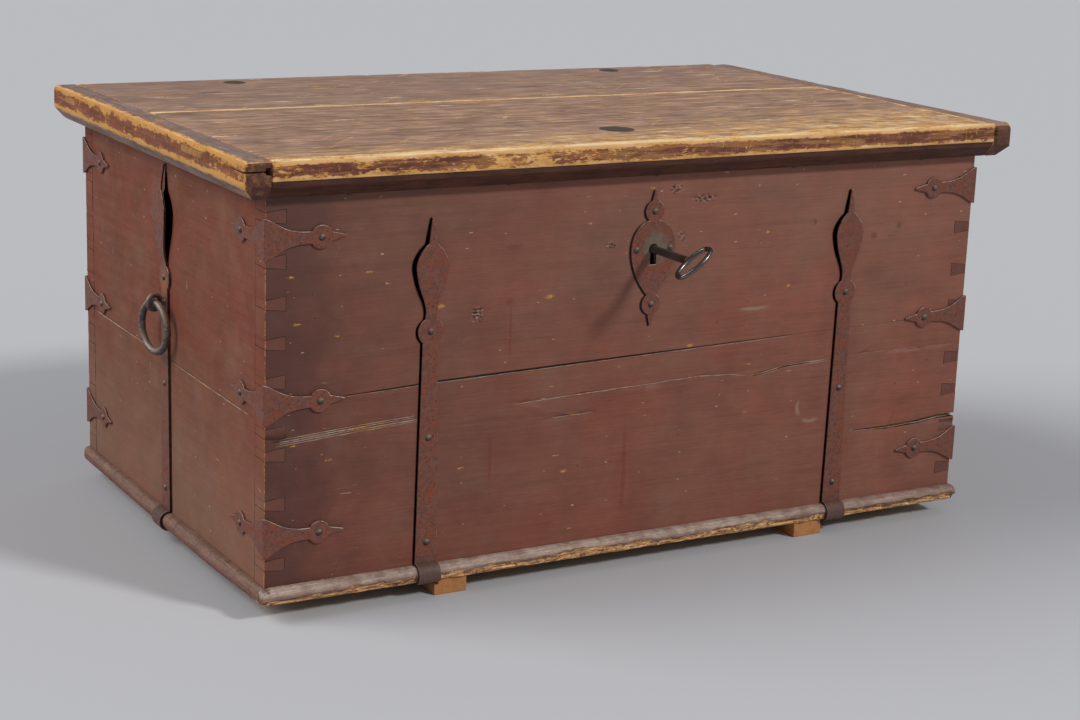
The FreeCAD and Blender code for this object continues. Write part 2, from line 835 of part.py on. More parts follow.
def hinge_strap(x):
    """Strap down the back, with the middle knuckle, its foot turned under the bottom."""
    middle = span(x, hinge_width * hinge_knuckle_share)
    top_z = hinge_z - knuckle_radius - moving_gap
    inner = back_face + board_gap
    outer = back_face + strap_outer
    under = base_under - board_gap
    corners = [
        (-hinge_foot_width / 2, under - strap_thickness),
        (hinge_foot_width / 2, under - strap_thickness),
        (hinge_width / 2, top_z),
        (-hinge_width / 2, top_z),
    ]
    plate = prism([V(x + across, inner, z) for across, z in corners], ALONG_Y * strap_thickness)
    foot_range = (back_face - strap_foot_length, outer)
    foot = block(span(x, hinge_foot_width), foot_range, (under - strap_thickness, under))
    tongue = block(middle, (inner, outer), (top_z - overrun, hinge_z))
    strap = plate.fuse([foot, tongue, hinge_barrel(middle, knuckle_radius)])
    strap = strap.cut(hinge_barrel(middle, hinge_pin_radius + running_clearance))
    return drilled(strap, hinge_strap_nails(), strap_nail_length)


def hinge_leaf(x):
    """Leaf under the lid, with the two outer knuckles and a rounded front end."""
    full = span(x, hinge_width)
    middle = span(x, hinge_width * hinge_knuckle_share + 2 * moving_gap)
    low = rim - hinge_leaf_thickness
    end_y = hinge_y - hinge_leaf_length
    half_end = hinge_leaf_end_width / 2
    corners = [(-hinge_width / 2, hinge_y), (hinge_width / 2, hinge_y), (half_end, end_y), (-half_end, end_y)]
    plate = prism([V(x + across, y, low) for across, y in corners], ALONG_Z * hinge_leaf_thickness)
    tip = Part.makeCylinder(half_end, hinge_leaf_thickness, V(x, end_y, low))
    leaf = plate.fuse([tip, hinge_barrel(full, knuckle_radius)])
    clear = knuckle_radius + 2 * moving_gap
    leaf = leaf.cut(block(middle, (hinge_y - clear, hinge_y + clear), (hinge_z - clear, rim + overrun)))
    leaf = leaf.cut(hinge_barrel(full, hinge_pin_radius + running_clearance))
    leaf = leaf.cut(rivet_hole(x, lid_rear - hinge_rivet_inset))
    return drilled(leaf, hinge_leaf_nails(), leaf_nail_length)


def hinge_pin(x):
    """Hinge pin with a head at each end."""
    shank = span(x, hinge_width + 2 * moving_gap)
    pin = hinge_barrel(shank, hinge_pin_radius)
    left_head = hinge_barrel((shank[0] - hinge_head_length, shank[0]), hinge_head_radius)
    right_head = hinge_barrel((shank[1], shank[1] + hinge_head_length), hinge_head_radius)
    return pin.fuse([left_head, right_head])


# Lid

def rivet_places():
    """Place and head radius of each rivet that shows on the lid's top."""
    places = [(x, lid_rear - hinge_rivet_inset, hinge_rivet_head_radius) for x in front_strap_places]
    places.append((hasp_x, front_face + hasp_rivet_inset, hasp_rivet_head_radius))
    return places


def rivet_hole(x, y):
    """Hole for a rivet through the lid and what it holds."""
    start = V(x, y, rim - hinge_leaf_thickness - overrun)
    return Part.makeCylinder(rivet_radius + running_clearance, lid_top + overrun - start.z, start)


def lid_rivets():
    """Rivets through the lid with low domed heads on top."""
    rivets = []
    for x, y, radius in rivet_places():
        foot = V(x, y, rim - hinge_leaf_thickness)
        shank = Part.makeCylinder(rivet_radius, lid_top - foot.z, foot)
        ball = (radius ** 2 + rivet_head_height ** 2) / (2 * rivet_head_height)
        dome = Part.makeSphere(ball, V(x, y, lid_top + rivet_head_height - ball))
        keep = block(span(x, 2 * ball), span(y, 2 * ball), (lid_top, lid_top + overrun))
        rivets.append(shank.fuse(dome.common(keep)))
    return Part.makeCompound(rivets)


def tenon_place(front):
    """Middle and width of the through tenon of the front or the rear plank."""
    if front:
        return lid_front + (lid_seam_offset - lid_front) * front_tenon_share, front_tenon_width
    return lid_seam_offset + (lid_rear - lid_seam_offset) * rear_tenon_share, rear_tenon_width


def lid_plank(front):
    """Front or rear plank, with a tongue and a through tenon at each end."""
    low, high = (lid_front, lid_seam_offset - plank_gap) if front else (lid_seam_offset, lid_rear)
    plank = block((-plank_end, plank_end), (low, high), (rim, lid_top))
    tongue_z = span((rim + lid_top) / 2, tongue_thickness)
    reach = plank_end + tongue_length
    middle, width = tenon_place(front)
    tongue_start = low + tongue_setback if front else low
    tongue = block((-reach, reach), (tongue_start, high), tongue_z)
    tenon = block((-lid_end, lid_end), span(middle, width), tongue_z)
    plank = plank.fuse([tongue, tenon]).removeSplitter()
    for x, y, radius in rivet_places():
        plank = plank.cut(rivet_hole(x, y))
    for hole in peg_solids(running_clearance):
        plank = plank.cut(hole)
    plank = drilled(plank, lip_nails(), lip_nail_length)
    return drilled(plank, hinge_leaf_nails(), leaf_nail_length)


def lid_cleat(side):
    """Grooved cleat across one end of the lid, chamfered below on its outer and front edges."""
    low = lid_top - cleat_height
    inner = side * plank_end
    outer = side * lid_end
    cleat = block(sorted((inner, outer)), (lid_front, lid_rear), (low, lid_top))
    tongue_z = span((rim + lid_top) / 2, tongue_thickness + 2 * groove_clearance)
    groove_end = side * (plank_end + tongue_length + groove_clearance)
    groove_x = sorted((inner - side * overrun, groove_end))
    cleat = cleat.cut(block(groove_x, (lid_front - overrun, lid_rear + overrun), tongue_z))
    for front in (True, False):
        middle, width = tenon_place(front)
        mortise_y = span(middle, width + 2 * groove_clearance)
        cleat = cleat.cut(block(sorted((inner, outer + side * overrun)), mortise_y, tongue_z))
    chamfer_z = low + cleat_chamfer_height
    wedge = [(outer - side * cleat_chamfer_width, low), (outer, low), (outer, chamfer_z)]
    points = [V(x, lid_front, z) for x, z in wedge]
    cleat = cleat.cut(prism(points, ALONG_Y * (lid_rear - lid_front)))
    wedge = [(lid_front + cleat_chamfer_width, low), (lid_front, low), (lid_front, chamfer_z)]
    points = [V(inner, y, z) for y, z in wedge]
    cleat = cleat.cut(prism(points, ALONG_X * (outer - inner)))
    for hole in peg_solids(running_clearance):
        cleat = cleat.cut(hole)
    return cleat.cut(cleat_split()) if side < 0 else cleat


def cleat_split():
    """Crack in the front end of the left cleat, from its groove out to its outer face."""
    middle = (rim + lid_top) / 2
    front = lid_front - overrun
    wedge = [(front, middle - split_gap / 2), (front, middle + split_gap / 2)]
    wedge.append((lid_front + split_length, middle))
    return prism([V(-lid_end - overrun, y, z) for y, z in wedge], ALONG_X * (cleat_width + overrun))


def peg_solids(clearance):
    """Wooden pegs down through the cleats and the tenons, grown by a clearance."""
    pegs = []
    for side in (-1, 1):
        for front in (True, False):
            foot = V(side * (plank_end + lid_end) / 2, tenon_place(front)[0], lid_top - peg_length)
            pegs.append(Part.makeCylinder(peg_radius + clearance, peg_length, foot))
    return pegs


def lid_front_lip():
    """Strip under the lid's front edge, chamfered below."""
    front = lid_front + lip_setback
    back = front_face - lip_clearance
    low = rim - lip_height
    corners = [(front, rim), (back, rim), (back, low), (front + lip_chamfer, low), (front, low + lip_chamfer)]
    end = plank_end - board_gap
    strip = prism([V(-end, y, z) for y, z in corners], ALONG_X * (2 * end))
    return drilled(strip, lip_nails(), lip_nail_length)


# Escutcheon, lock and key

def escutcheon():
    """Keyhole plate with a boss and a point above and below."""
    half = escutcheon_width / 2
    neck = escutcheon_neck_width / 2
    tip_root = escutcheon_tip_root_width / 2
    point = escutcheon_tip_width / 2
    top_z = escutcheon_rise * escutcheon_top_boss_share
    low_z = -escutcheon_fall * escutcheon_low_boss_share
    low_boss = boss_arc(low_z, escutcheon_boss_radius, tip_root, neck)
    top_boss = boss_arc(top_z, escutcheon_boss_radius, neck, tip_root)
    body = [low_boss[1][-1]]
    for across, rise in escutcheon_body_shares:
        height = escutcheon_rise if rise > 0 else escutcheon_fall
        body.append((half * across, height * rise))
    body.append(top_boss[1][0])
    face = mirrored_face([
        ("line", [(point, -escutcheon_fall), low_boss[1][0]]),
        low_boss,
        ("curve", body),
        top_boss,
        ("line", [top_boss[1][-1], (point, escutcheon_rise)]),
    ])
    face.translate(V(lock_place, front_face - board_gap - escutcheon_thickness, keyhole_z))
    plate = face.extrude(ALONG_Y * escutcheon_thickness)
    plate = plate.cut(keyhole_cutter(front_face - 2 * overrun, front_face + overrun, 0))
    return drilled(plate, escutcheon_nails(), strap_nail_length)


def lock_plate():
    """Plate on the inner face of the front board, with two studs that guide the bolt."""
    x_range = (lock_left - lock_flange, lock_right + lock_flange)
    plate = block(x_range, (front_inner, front_inner + lock_wall), (lock_bottom, lock_top))
    plate = plate.cut(keyhole_cutter(front_inner - overrun, front_inner + overrun, 0))
    length = bolt_y + bolt_thickness / 2 + stud_radius / 2 - front_inner
    for x, z in stud_places():
        plate = plate.fuse(Part.makeCylinder(stud_radius, length, V(x, front_inner, z), ALONG_Y))
    return drilled(plate, lock_nails(), lock_nail_length)


def stud_places():
    """Middle of each guide stud."""
    z = keyhole_z + bolt_rise + (bolt_body_height + talon_height) / 2
    start = lock_place - bolt_body_length * talon_share + (bolt_body_length - stud_spacing) / 2
    return [(start, z), (start + stud_spacing, z)]


def lock_cover():
    """Box over the lock, open to the plate, slotted for the hasp and bored for the key's end."""
    y_range = (front_inner + lock_wall, lock_back)
    cover = block((lock_left, lock_right), y_range, (lock_bottom, lock_top))
    inside_x = (lock_left + lock_wall, lock_right - lock_wall)
    inside_z = (lock_bottom + lock_wall, lock_top - lock_wall)
    cover = cover.cut(block(inside_x, (front_inner - overrun, lock_back - lock_wall), inside_z))
    slot_x = span(hasp_x, hasp_thickness + 2 * hasp_slot_clearance)
    slot_y = (front_inner, bolt_y + hasp_width / 2 + hasp_slot_clearance)
    cover = cover.cut(block(slot_x, slot_y, (lock_top - 2 * lock_wall, lock_top + overrun)))
    bore_start = V(lock_place, lock_back - lock_wall - overrun, keyhole_z)
    bore_length = lock_wall + 2 * overrun
    bore = Part.makeCylinder(key_pivot_radius + running_clearance, bore_length, bore_start, ALONG_Y)
    return cover.cut(bore)


def lock_bolt():
    """Sliding bolt: a body with the talon below, an arm up to a finger that enters the hasp."""
    y_range = span(bolt_y, bolt_thickness)
    low = keyhole_z + bolt_rise
    left = lock_place - bolt_body_length * talon_share
    right = left + bolt_body_length
    finger_z = span(rim - hasp_length + hasp_hole_rise, bolt_finger_height)
    finger_tip = hasp_x + hasp_thickness / 2 + bolt_finger_clearance
    body = block((left, right), y_range, (low, low + bolt_body_height))
    arm = block((right - bolt_arm_length, right), y_range, (low, finger_z[1]))
    finger = block((finger_tip, right), y_range, finger_z)
    bolt = body.fuse([arm, finger]).removeSplitter()
    talon_x = span(lock_place + bolt_throw / 2, talon_width)
    bolt = bolt.cut(block(talon_x, span(bolt_y, 2 * bolt_thickness), (low - overrun, low + talon_height)))
    slot_half = stud_radius + running_clearance
    for x, z in stud_places():
        slot_x = (x - slot_half, x + bolt_throw + slot_half)
        bolt = bolt.cut(block(slot_x, span(bolt_y, 2 * bolt_thickness), (z - slot_half, z + slot_half)))
    return bolt


def lock_hasp():
    """Plate under the lid with a bar that hangs into the lock and an eye for the bolt's finger."""
    plate_y = (front_inner + board_gap, front_inner + hasp_plate_length)
    plate = block(span(hasp_x, hasp_plate_width), plate_y, (rim - hasp_plate_thickness, rim))
    x_range = span(hasp_x, hasp_thickness)
    bar = block(x_range, span(bolt_y, hasp_width), (rim - hasp_length, rim))
    hole_z = span(rim - hasp_length + hasp_hole_rise, hasp_hole_height)
    hasp = plate.fuse(bar).removeSplitter()
    hasp = hasp.cut(block(span(hasp_x, 2 * hasp_thickness), span(bolt_y, hasp_hole_width), hole_z))
    x, y, radius = rivet_places()[-1]
    return hasp.cut(rivet_hole(x, y))


def key_bow():
    """Oval bow of the key, about the key's axis with its long way along X."""
    middle_y = front_face - key_reach - key_bow_depth / 2
    end_radius = bow_half_depth * key_bow_end_radius_share
    end_x = bow_half_width - end_radius
    side_radius = (end_x ** 2 + bow_half_depth ** 2 - end_radius ** 2) / (2 * (bow_half_depth - end_radius))
    side_y = side_radius - bow_half_depth
    lean = math.atan2(end_x, side_y)
    join_x = side_radius * math.sin(lean)
    join_y = side_radius * math.cos(lean) - side_y
    stops = [(join_x, join_y), (0, bow_half_depth), (-join_x, join_y), (-bow_half_width, 0)]
    stops += [(-join_x, -join_y), (0, -bow_half_depth), (join_x, -join_y), (bow_half_width, 0)]
    stops.append((join_x, join_y))
    points = [V(x, middle_y + y, 0) for x, y in stops]
    edges = [Part.Arc(*points[i:i + 3]).toShape() for i in range(0, len(points) - 1, 2)]
    path = Part.Wire(edges)
    across = V(join_y + side_y, -join_x, 0) * (-1 / side_radius)
    ring = Part.Wire(Part.makeCircle(key_bow_bar_radius, points[0], across))
    return path.makePipeShell([ring], True, True)


def key():
    """Key through the front into the lock, turned to the angle that the bow shows."""
    bow = key_bow()
    shaft_start = front_face - key_reach - key_bow_bar_radius
    shaft_end = lock_back - lock_wall - moving_gap
    shaft = Part.makeCylinder(key_shaft_radius, shaft_end - shaft_start, V(0, shaft_start, 0), ALONG_Y)
    pivot = Part.makeCylinder(key_pivot_radius, key_pivot_length + lock_wall, V(0, shaft_end, 0), ALONG_Y)
    bit = block((0, key_bit_reach), span(bolt_y, key_bit_length), span(0, key_bit_thickness))
    whole = bow.fuse([shaft, pivot, bit])
    whole.rotate(V(0, 0, 0), ALONG_Y, -key_turn_angle)
    whole.translate(V(lock_place, 0, keyhole_z))
    return whole


# All nodes

def nodes():
    """Every sub-part by name."""
    left_x, right_x = front_strap_places
    parts = {
        "front_upper_board": front_board(True),
        "front_lower_board": front_board(False),
        "back_upper_board": back_board(True),
        "back_lower_board": back_board(False),
        "left_upper_board": end_board(-1, True),
        "left_lower_board": end_board(-1, False),
        "right_upper_board": end_board(1, True),
        "right_lower_board": end_board(1, False),
        "bottom_front_board": bottom_board(0),
        "bottom_middle_board": bottom_board(1),
        "bottom_rear_board": bottom_board(2),
        "runner_left": runner(-1),
        "runner_right": runner(1),
        "base_nails": base_nail_group(),
        "front_strap_left": front_strap(left_x),
        "front_strap_right": front_strap(right_x),
        "end_strap_left": end_strap(-1),
        "end_strap_right": end_strap(1),
        "strap_nails": nail_group(strap_nails(), strap_nail_length),
        "corner_iron_nails": nail_group(corner_iron_nails(), strap_nail_length),
        "handle_eye_left": handle_eye(-1),
        "handle_eye_right": handle_eye(1),
        "handle_ring_left": handle_ring(-1),
        "handle_ring_right": handle_ring(1),
        "hinge_strap_left": hinge_strap(left_x),
        "hinge_strap_right": hinge_strap(right_x),
        "hinge_strap_nails": nail_group(hinge_strap_nails(), strap_nail_length),
        "hinge_leaf_left": hinge_leaf(left_x),
        "hinge_leaf_right": hinge_leaf(right_x),
        "hinge_leaf_nails": nail_group(hinge_leaf_nails(), leaf_nail_length),
        "hinge_pin_left": hinge_pin(left_x),
        "hinge_pin_right": hinge_pin(right_x),
        "lid_front_plank": lid_plank(True),
        "lid_rear_plank": lid_plank(False),
        "lid_cleat_left": lid_cleat(-1),
        "lid_cleat_right": lid_cleat(1),
        "lid_pegs": Part.makeCompound(peg_solids(0)),
        "lid_front_lip": lid_front_lip(),
        "lid_lip_nails": nail_group(lip_nails(), lip_nail_length),
        "lid_rivets": lid_rivets(),
        "escutcheon": escutcheon(),
        "escutcheon_nails": nail_group(escutcheon_nails(), strap_nail_length),
        "lock_plate": lock_plate(),
        "lock_cover": lock_cover(),
        "lock_nails": nail_group(lock_nails(), lock_nail_length),
        "lock_bolt": lock_bolt(),
        "lock_hasp": lock_hasp(),
        "key": key(),
    }
    for name, side, depth, z in corner_places():
        parts[name] = corner_iron(side, depth, z)
    return parts


def main():
    """Write each sub-part, moved so that the whole stands centred over the origin."""
    os.makedirs("parts", exist_ok=True)
    for name, shape in nodes().items():
        shape.translate(origin_shift)
        shape.exportStep(f"parts/{name}.step")


if __name__ == "__main__":
    main()
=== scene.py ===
"""Looks of the painted blanket chest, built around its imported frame. Lengths are in metres unless said otherwise."""

import functools
import json
import math

import bmesh
import bpy
from mathutils import Matrix, Vector, noise
from mathutils.geometry import intersect_point_line


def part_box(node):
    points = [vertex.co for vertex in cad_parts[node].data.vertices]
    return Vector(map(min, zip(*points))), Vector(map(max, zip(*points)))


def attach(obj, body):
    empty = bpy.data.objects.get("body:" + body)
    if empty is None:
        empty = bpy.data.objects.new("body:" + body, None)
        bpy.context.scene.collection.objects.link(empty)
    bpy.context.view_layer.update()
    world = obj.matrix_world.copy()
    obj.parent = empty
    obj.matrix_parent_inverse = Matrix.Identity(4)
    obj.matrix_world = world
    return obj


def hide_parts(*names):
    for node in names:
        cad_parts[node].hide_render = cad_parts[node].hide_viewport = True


bl_info = {
    "name": "Painted Blanket Chest",
    "version": (1, 0, 0),
    "blender": (4, 5, 0),
    "location": "View3D > Sidebar > Chest",
    "description": "Dresses the packed blanket chest in worn paint, pine and forged iron",
    "category": "Object",
}

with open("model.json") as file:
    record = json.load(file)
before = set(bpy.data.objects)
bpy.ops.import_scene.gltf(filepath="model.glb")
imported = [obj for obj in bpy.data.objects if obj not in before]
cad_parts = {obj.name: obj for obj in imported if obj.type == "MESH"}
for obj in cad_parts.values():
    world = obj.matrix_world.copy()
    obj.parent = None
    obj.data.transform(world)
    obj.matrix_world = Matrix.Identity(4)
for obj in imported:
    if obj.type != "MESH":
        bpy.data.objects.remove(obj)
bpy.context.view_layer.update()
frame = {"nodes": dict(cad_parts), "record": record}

MM = 0.001
WELD = 0.001 * MM
FLAT_ANGLE = math.radians(0.6)
SHARP_ANGLE = math.radians(38)
BODY_OF = {n: body for body, names in frame["record"]["behaviour"]["bodies"].items() for n in names}

FRONT_LOW, FRONT_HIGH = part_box("front_lower_board")
BACK_LOW, BACK_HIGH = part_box("back_upper_board")
HALF_WIDTH = FRONT_HIGH.x
FRONT_FACE = FRONT_LOW.y
BACK_FACE = BACK_HIGH.y
BODY_FOOT = FRONT_LOW.z
BODY_RIM = BACK_HIGH.z
LID_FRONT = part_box("lid_front_plank")[0].y


# Settings

def linear(code):
    """An sRGB hex colour as linear red, green, blue and alpha."""
    values = [int(code[i:i + 2], 16) / 255 for i in (1, 3, 5)]
    return [v / 12.92 if v <= 0.04045 else ((v + 0.055) / 1.055) ** 2.4 for v in values] + [1.0]


def tint(name, description, code):
    """A colour that a user can change."""
    return bpy.props.FloatVectorProperty(
        name=name, description=description, subtype="COLOR", size=4, min=0, max=1, default=linear(code))


def length(name, description, millimetres):
    """A small length that a user can change."""
    return bpy.props.FloatProperty(
        name=name, description=description, subtype="DISTANCE", unit="LENGTH", min=0, default=millimetres * MM)


def strength(name, description, amount):
    """The strength of a light, which a user can change."""
    return bpy.props.FloatProperty(name=name, description=description, min=0, default=amount)


class ChestPaint(bpy.types.PropertyGroup):
    """Colours of the paint, the wood and the iron."""
    red: tint("Red", "Paint where it kept its red", "#7d4738")
    brown: tint("Brown", "Paint where it went brown", "#764a3b")
    shade: tint("Shade", "Dark brush streaks", "#54322b")
    end_red: tint("End red", "Paint of the ends where it kept its red", "#814736")
    end_brown: tint("End brown", "Paint of the ends where it went brown", "#794c39")
    pin: tint("Pins", "Paint on the end grain of the corner joints", "#6f4438")
    grime: tint("Grime", "Dirt in cracks and under the iron", "#1d1411")
    dust: tint("Dust", "Dust and chalking on the paint", "#9a836f")
    stain: tint("Stain", "Red runs down the front", "#752d1c")
    nose: tint("Nose dust", "Dust on the bottom boards' nose", "#bda898")
    chip: tint("Chip", "Pale ground in a chip", "#cbb6a3")
    ochre: tint("Ochre", "Bare rubbed pine", "#d59a4e")
    straw: tint("Straw", "Bare pine rubbed pale", "#f8deb0")
    honey: tint("Honey", "Wood on the rubbed edges of the lid", "#ebba80")
    amber: tint("Amber", "Thin paint over pine", "#995f35")
    lid: tint("Lid", "Worn paint on the lid's top", "#a27f69")
    lid_shade: tint("Lid shade", "Dark grain on the lid's top", "#6f5142")
    lid_edge: tint("Lid edge", "Paint left on the lid's front edge", "#774537")
    cleat: tint("Cleat", "Grey paint on the cleats", "#88726a")
    cleat_end: tint("Cleat end", "Dark paint on the ends of the right cleat", "#5d3a30")
    cleat_side: tint("Cleat side", "Paint left on the outer side of the cleats", "#854b33")
    lip: tint("Lip", "Paint on the strip under the lid", "#4a2a22")
    pine: tint("Pine", "Bare pine inside", "#b8915f")
    pine_dark: tint("Pine grain", "Late wood in the bare pine", "#8d653d")
    runner: tint("Runner", "Sawn pine of the runners", "#bd8149")
    iron_paint: tint("Iron paint", "Paint on the straps", "#74493d")
    rust: tint("Rust", "Rust through the paint", "#86452b")
    iron: tint("Iron", "Forged iron", "#4f4a46")
    nail: tint("Nail", "Heads of the nails", "#352c27")
    iron_dust: tint("Dusty iron", "Dust on the ring handles", "#9a8777")
    # Iron rub is also a painted highlight: it is palest on the iron edges that face the key light
    iron_rub: tint("Rubbed iron", "Paint and iron rubbed pale on their edges", "#d0c1b4")
    handled: tint("Handled paint", "Grey-green rub round the keyhole", "#6f6a58")
    steel: tint("Steel", "Steel of the key", "#6f6c69")
    steel_dark: tint("Dark steel", "Shank of the key", "#454341")


class ChestWear(bpy.types.PropertyGroup):
    """Sizes of the wear."""
    joint_arris: length("Joint arris", "Width of the worn arris at a joint of the boards", 0.5)
    board_arris: length("Board arris", "Width of the worn arris on a board", 0.9)
    iron_arris: length("Iron arris", "Width of the filed arris on the ironwork", 0.9)
    lid_round: length("Lid rounding", "Radius worn on the lid's top edges", 7.0)
    lid_under: length("Lid under edge", "Radius worn on the lid's lower edges", 4.0)
    joint_round: length("Joint rounding", "Radius worn where lid pieces meet", 2.2)
    board_wave: length("Board wave", "Depth of the plane's hollows in a board", 0.5)
    # The dirt line is also a painted shadow of the iron
    dirt_line: length("Dirt line", "Width of the dirt beside the iron", 2.0)
    hammer: length("Hammer marks", "Depth of the hammer marks in the iron", 0.4)
    nose_chip: length("Nose chips", "Depth of the breaks along the bottom's front edge", 5.0)


class ChestStage(bpy.types.PropertyGroup):
    """Floor, light and camera."""
    floor: tint("Floor", "Colour of the floor", "#c4c5c8")
    sky: tint("Sky", "Colour of the light all round", "#f2f4fa")
    sky_strength: strength("Sky strength", "Strength of the light all round", 0.3)
    key_strength: strength("Key light", "Strength of the light from the right", 1.55)
    fill_strength: strength("Fill light", "Strength of the light from the left", 1.75)
    lens: bpy.props.FloatProperty(
        name="Lens", description="Focal length of the camera", subtype="DISTANCE_CAMERA", default=72.96)


# Mesh work

def source_mesh(name):
    """A CAD node's mesh, welded and with its flat triangles joined, as a new bmesh."""
    bm = bmesh.new()
    bm.from_mesh(frame["nodes"][name].data)
    bmesh.ops.remove_doubles(bm, verts=bm.verts, dist=WELD)
    bmesh.ops.dissolve_limit(bm, angle_limit=FLAT_ANGLE, verts=bm.verts, edges=bm.edges)
    return bm


def cut_grid(bm, planes):
    """Cuts the mesh across each axis at the given places, so that there are points to move."""
    for axis, places in enumerate(planes):
        normal = Vector([float(i == axis) for i in range(3)])
        for place in places:
            geometry = bm.verts[:] + bm.edges[:] + bm.faces[:]
            bmesh.ops.bisect_plane(bm, geom=geometry, dist=WELD, plane_co=normal * place, plane_no=normal)


def ladder(low, high, step, near=()):
    """Places between two ends, a step apart, with extra ones at the given distances from each end."""
    count = max(1, round((high - low) / step))
    places = [low + (high - low) * i / count for i in range(1, count)]
    for offset in near:
        places += [low + offset * MM, high - offset * MM]
    return [p for p in sorted(places) if low < p < high]


def ease_arris(bm, width, wanted, layer="arris", rub=None):
    """Bevels the wanted sharp edges and marks the new faces in a layer, most where they face a rub, on irons also a
    painted highlight.
    """
    level = bm.faces.layers.float.get(layer) or bm.faces.layers.float.new(layer)
    edges = [e for e in bm.edges if e.is_manifold and e.calc_face_angle() > SHARP_ANGLE and wanted(e)]
    made = bmesh.ops.bevel(
        bm, geom=edges, offset=width, offset_type="OFFSET", segments=2, profile=0.6, affect="EDGES",
        clamp_overlap=False)
    bm.normal_update()
    for face in made["faces"]:
        face[level] = 0.5 + 1.3 * max(0.0, face.normal.dot(rub)) if rub else 1.0
    return level


def clamp(value):
    """A value kept between 0 and 1."""
    return min(1.0, max(0.0, value))


def ripple(place, size, seed):
    """Smooth noise from -1 to 1 whose humps are about a size apart."""
    return noise.noise(place / size + Vector((seed, seed * 1.7, -seed)))


def rounded(place, low, high, radius):
    """A place on a box's surface, drawn in to the box's edges rounded by a radius."""
    core = Vector([min(max(place[i], low[i] + radius), high[i] - radius) for i in range(3)])
    away = place - core
    return core + away * (radius / away.length) if away.length > radius else place


def new_piece(bm, name, host, skins):
    """Turns a bmesh into an object with its materials that rides with a CAD node's body."""
    mesh = bpy.data.meshes.new(name)
    bm.to_mesh(mesh)
    bm.free()
    for skin in skins:
        mesh.materials.append(finish(skin))
    piece = bpy.data.objects.new(name, mesh)
    bpy.context.scene.collection.objects.link(piece)
    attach(piece, BODY_OF[host])
    return piece


def dressed_piece(bm, name, skins, choose=None):
    """Makes the smooth piece that stands for a CAD node, and hides the node."""
    for face in bm.faces:
        face.smooth = True
        face.material_index = choose(face) if choose else 0
    piece = new_piece(bm, name + "_dressed", name, skins)
    piece.data.set_sharp_from_angle(angle=SHARP_ANGLE)
    piece.modifiers.new("level_faces", "WEIGHTED_NORMAL").keep_sharp = True
    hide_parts(name)


def loose_piece(bm, name, host, skin):
    """Makes a thin piece of its own that lies on a board or an iron."""
    bmesh.ops.recalc_face_normals(bm, faces=bm.faces)
    new_piece(bm, name, host, [skin])


def finish_node(name, skin):
    """Gives a CAD node that keeps its shape a better material."""
    for slot in frame["nodes"][name].material_slots:
        slot.material = finish(skin)


# Material work

SMOOTH = {"interpolation_type": "SMOOTHSTEP"}
TIMES = {"operation": "MULTIPLY"}
TIMES_ADD = {"operation": "MULTIPLY_ADD"}
PLUS = {"operation": "ADD"}
MINUS = {"operation": "SUBTRACT"}
BELOW = {"operation": "LESS_THAN"}
COLOURS = {"data_type": "RGBA"}
TINTS = {"data_type": "RGBA", "blend_type": "MULTIPLY"}
FLAT = {"noise_dimensions": "2D"}
NOISE_SPAN = (0.3, 0.7)
FLECK_TEAR = 1.1 * MM
RELIEF_STRENGTH = 0.6


def node(tree, kind, settings=None, sockets=(), output=0):
    """Adds a shader node, sets its properties, fills its sockets, named or in order, and gives one of its outputs."""
    made = tree.nodes.new("ShaderNode" + kind)
    for key, value in (settings or {}).items():
        setattr(made, key, value)
    for key, value in sockets.items() if isinstance(sockets, dict) else enumerate(sockets):
        if isinstance(value, bpy.types.NodeSocket):
            tree.links.new(value, made.inputs[key])
        else:
            made.inputs[key].default_value = value
    return made.outputs[output] if len(made.outputs) else None


def new_material(name):
    """An empty material, and the function above bound to its tree."""
    material = bpy.data.materials.new(name)
    material.use_nodes = True
    material.node_tree.nodes.clear()
    return material, functools.partial(node, material.node_tree)


def finish(name):
    """A material by name, made the first time that it is asked for."""
    found = bpy.data.materials.get(name)
    if not found:
        found, add = new_material(name)
        maker, *details = MAKERS[name]
        maker(bpy.context.scene.chest_paint, add, add("TexCoord", output="Object"), *details)
    return found


def grain(add, place, axis, width, stretch, detail=4.0):
    """Noise drawn out along an axis into lines of about a width, in millimetres."""
    scale = [1.0 / stretch if i == axis else 1.0 for i in range(3)]
    drawn = add("Mapping", None, {"Vector": place, "Scale": scale})
    return add("TexNoise", None, {"Vector": drawn, "Scale": 1 / (width * MM), "Detail": detail, "Roughness": 0.6})


def patches(add, place, size, low, high, detail=5.0, seed=0.0):
    """Cloudy mask, from none to full between two levels of a noise about a size across, in millimetres."""
    moved = add("Mapping", None, {"Vector": place, "Location": (seed, -seed, seed)})
    cloud = add("TexNoise", None, {"Vector": moved, "Scale": 1 / (size * MM), "Detail": detail, "Roughness": 0.62})
    return add("MapRange", SMOOTH, (cloud, low, high))


def flat_place(add, place, along, across):
    """Two of a place's coordinates, as a flat place for marks that lie on a surface."""
    parts = add("SeparateXYZ", None, (place,)).node.outputs
    return add("CombineXYZ", None, (parts[along], parts[across]))


def flecks(add, flat, spacing, share, size, stretch):
    """Sparse ragged specks drawn out along a board: one in a share of the cells of a spacing, in millimetres."""
    drawn = add("Mapping", None, {"Vector": flat, "Scale": (1 / stretch, 1, 1)})
    cells = add("TexVoronoi", {"voronoi_dimensions": "2D"}, {"Vector": drawn, "Scale": 1 / (spacing * MM)}, "Distance")
    ragged = add("TexNoise", FLAT, {"Vector": drawn, "Scale": 1 / FLECK_TEAR, "Detail": 3.0})
    lots = add("SeparateColor", None, (cells.node.outputs["Color"],)).node.outputs
    spread = add("Math", {"operation": "POWER"}, (lots[1], 2.0))
    reach = add("Math", TIMES, (spread, 2 * size / spacing))
    reach = add("Math", TIMES, (reach, add("MapRange", None, (ragged, *NOISE_SPAN))))
    inside = add("Math", BELOW, (cells, reach))
    return add("Math", TIMES, (inside, add("Math", BELOW, (lots[0], share))))


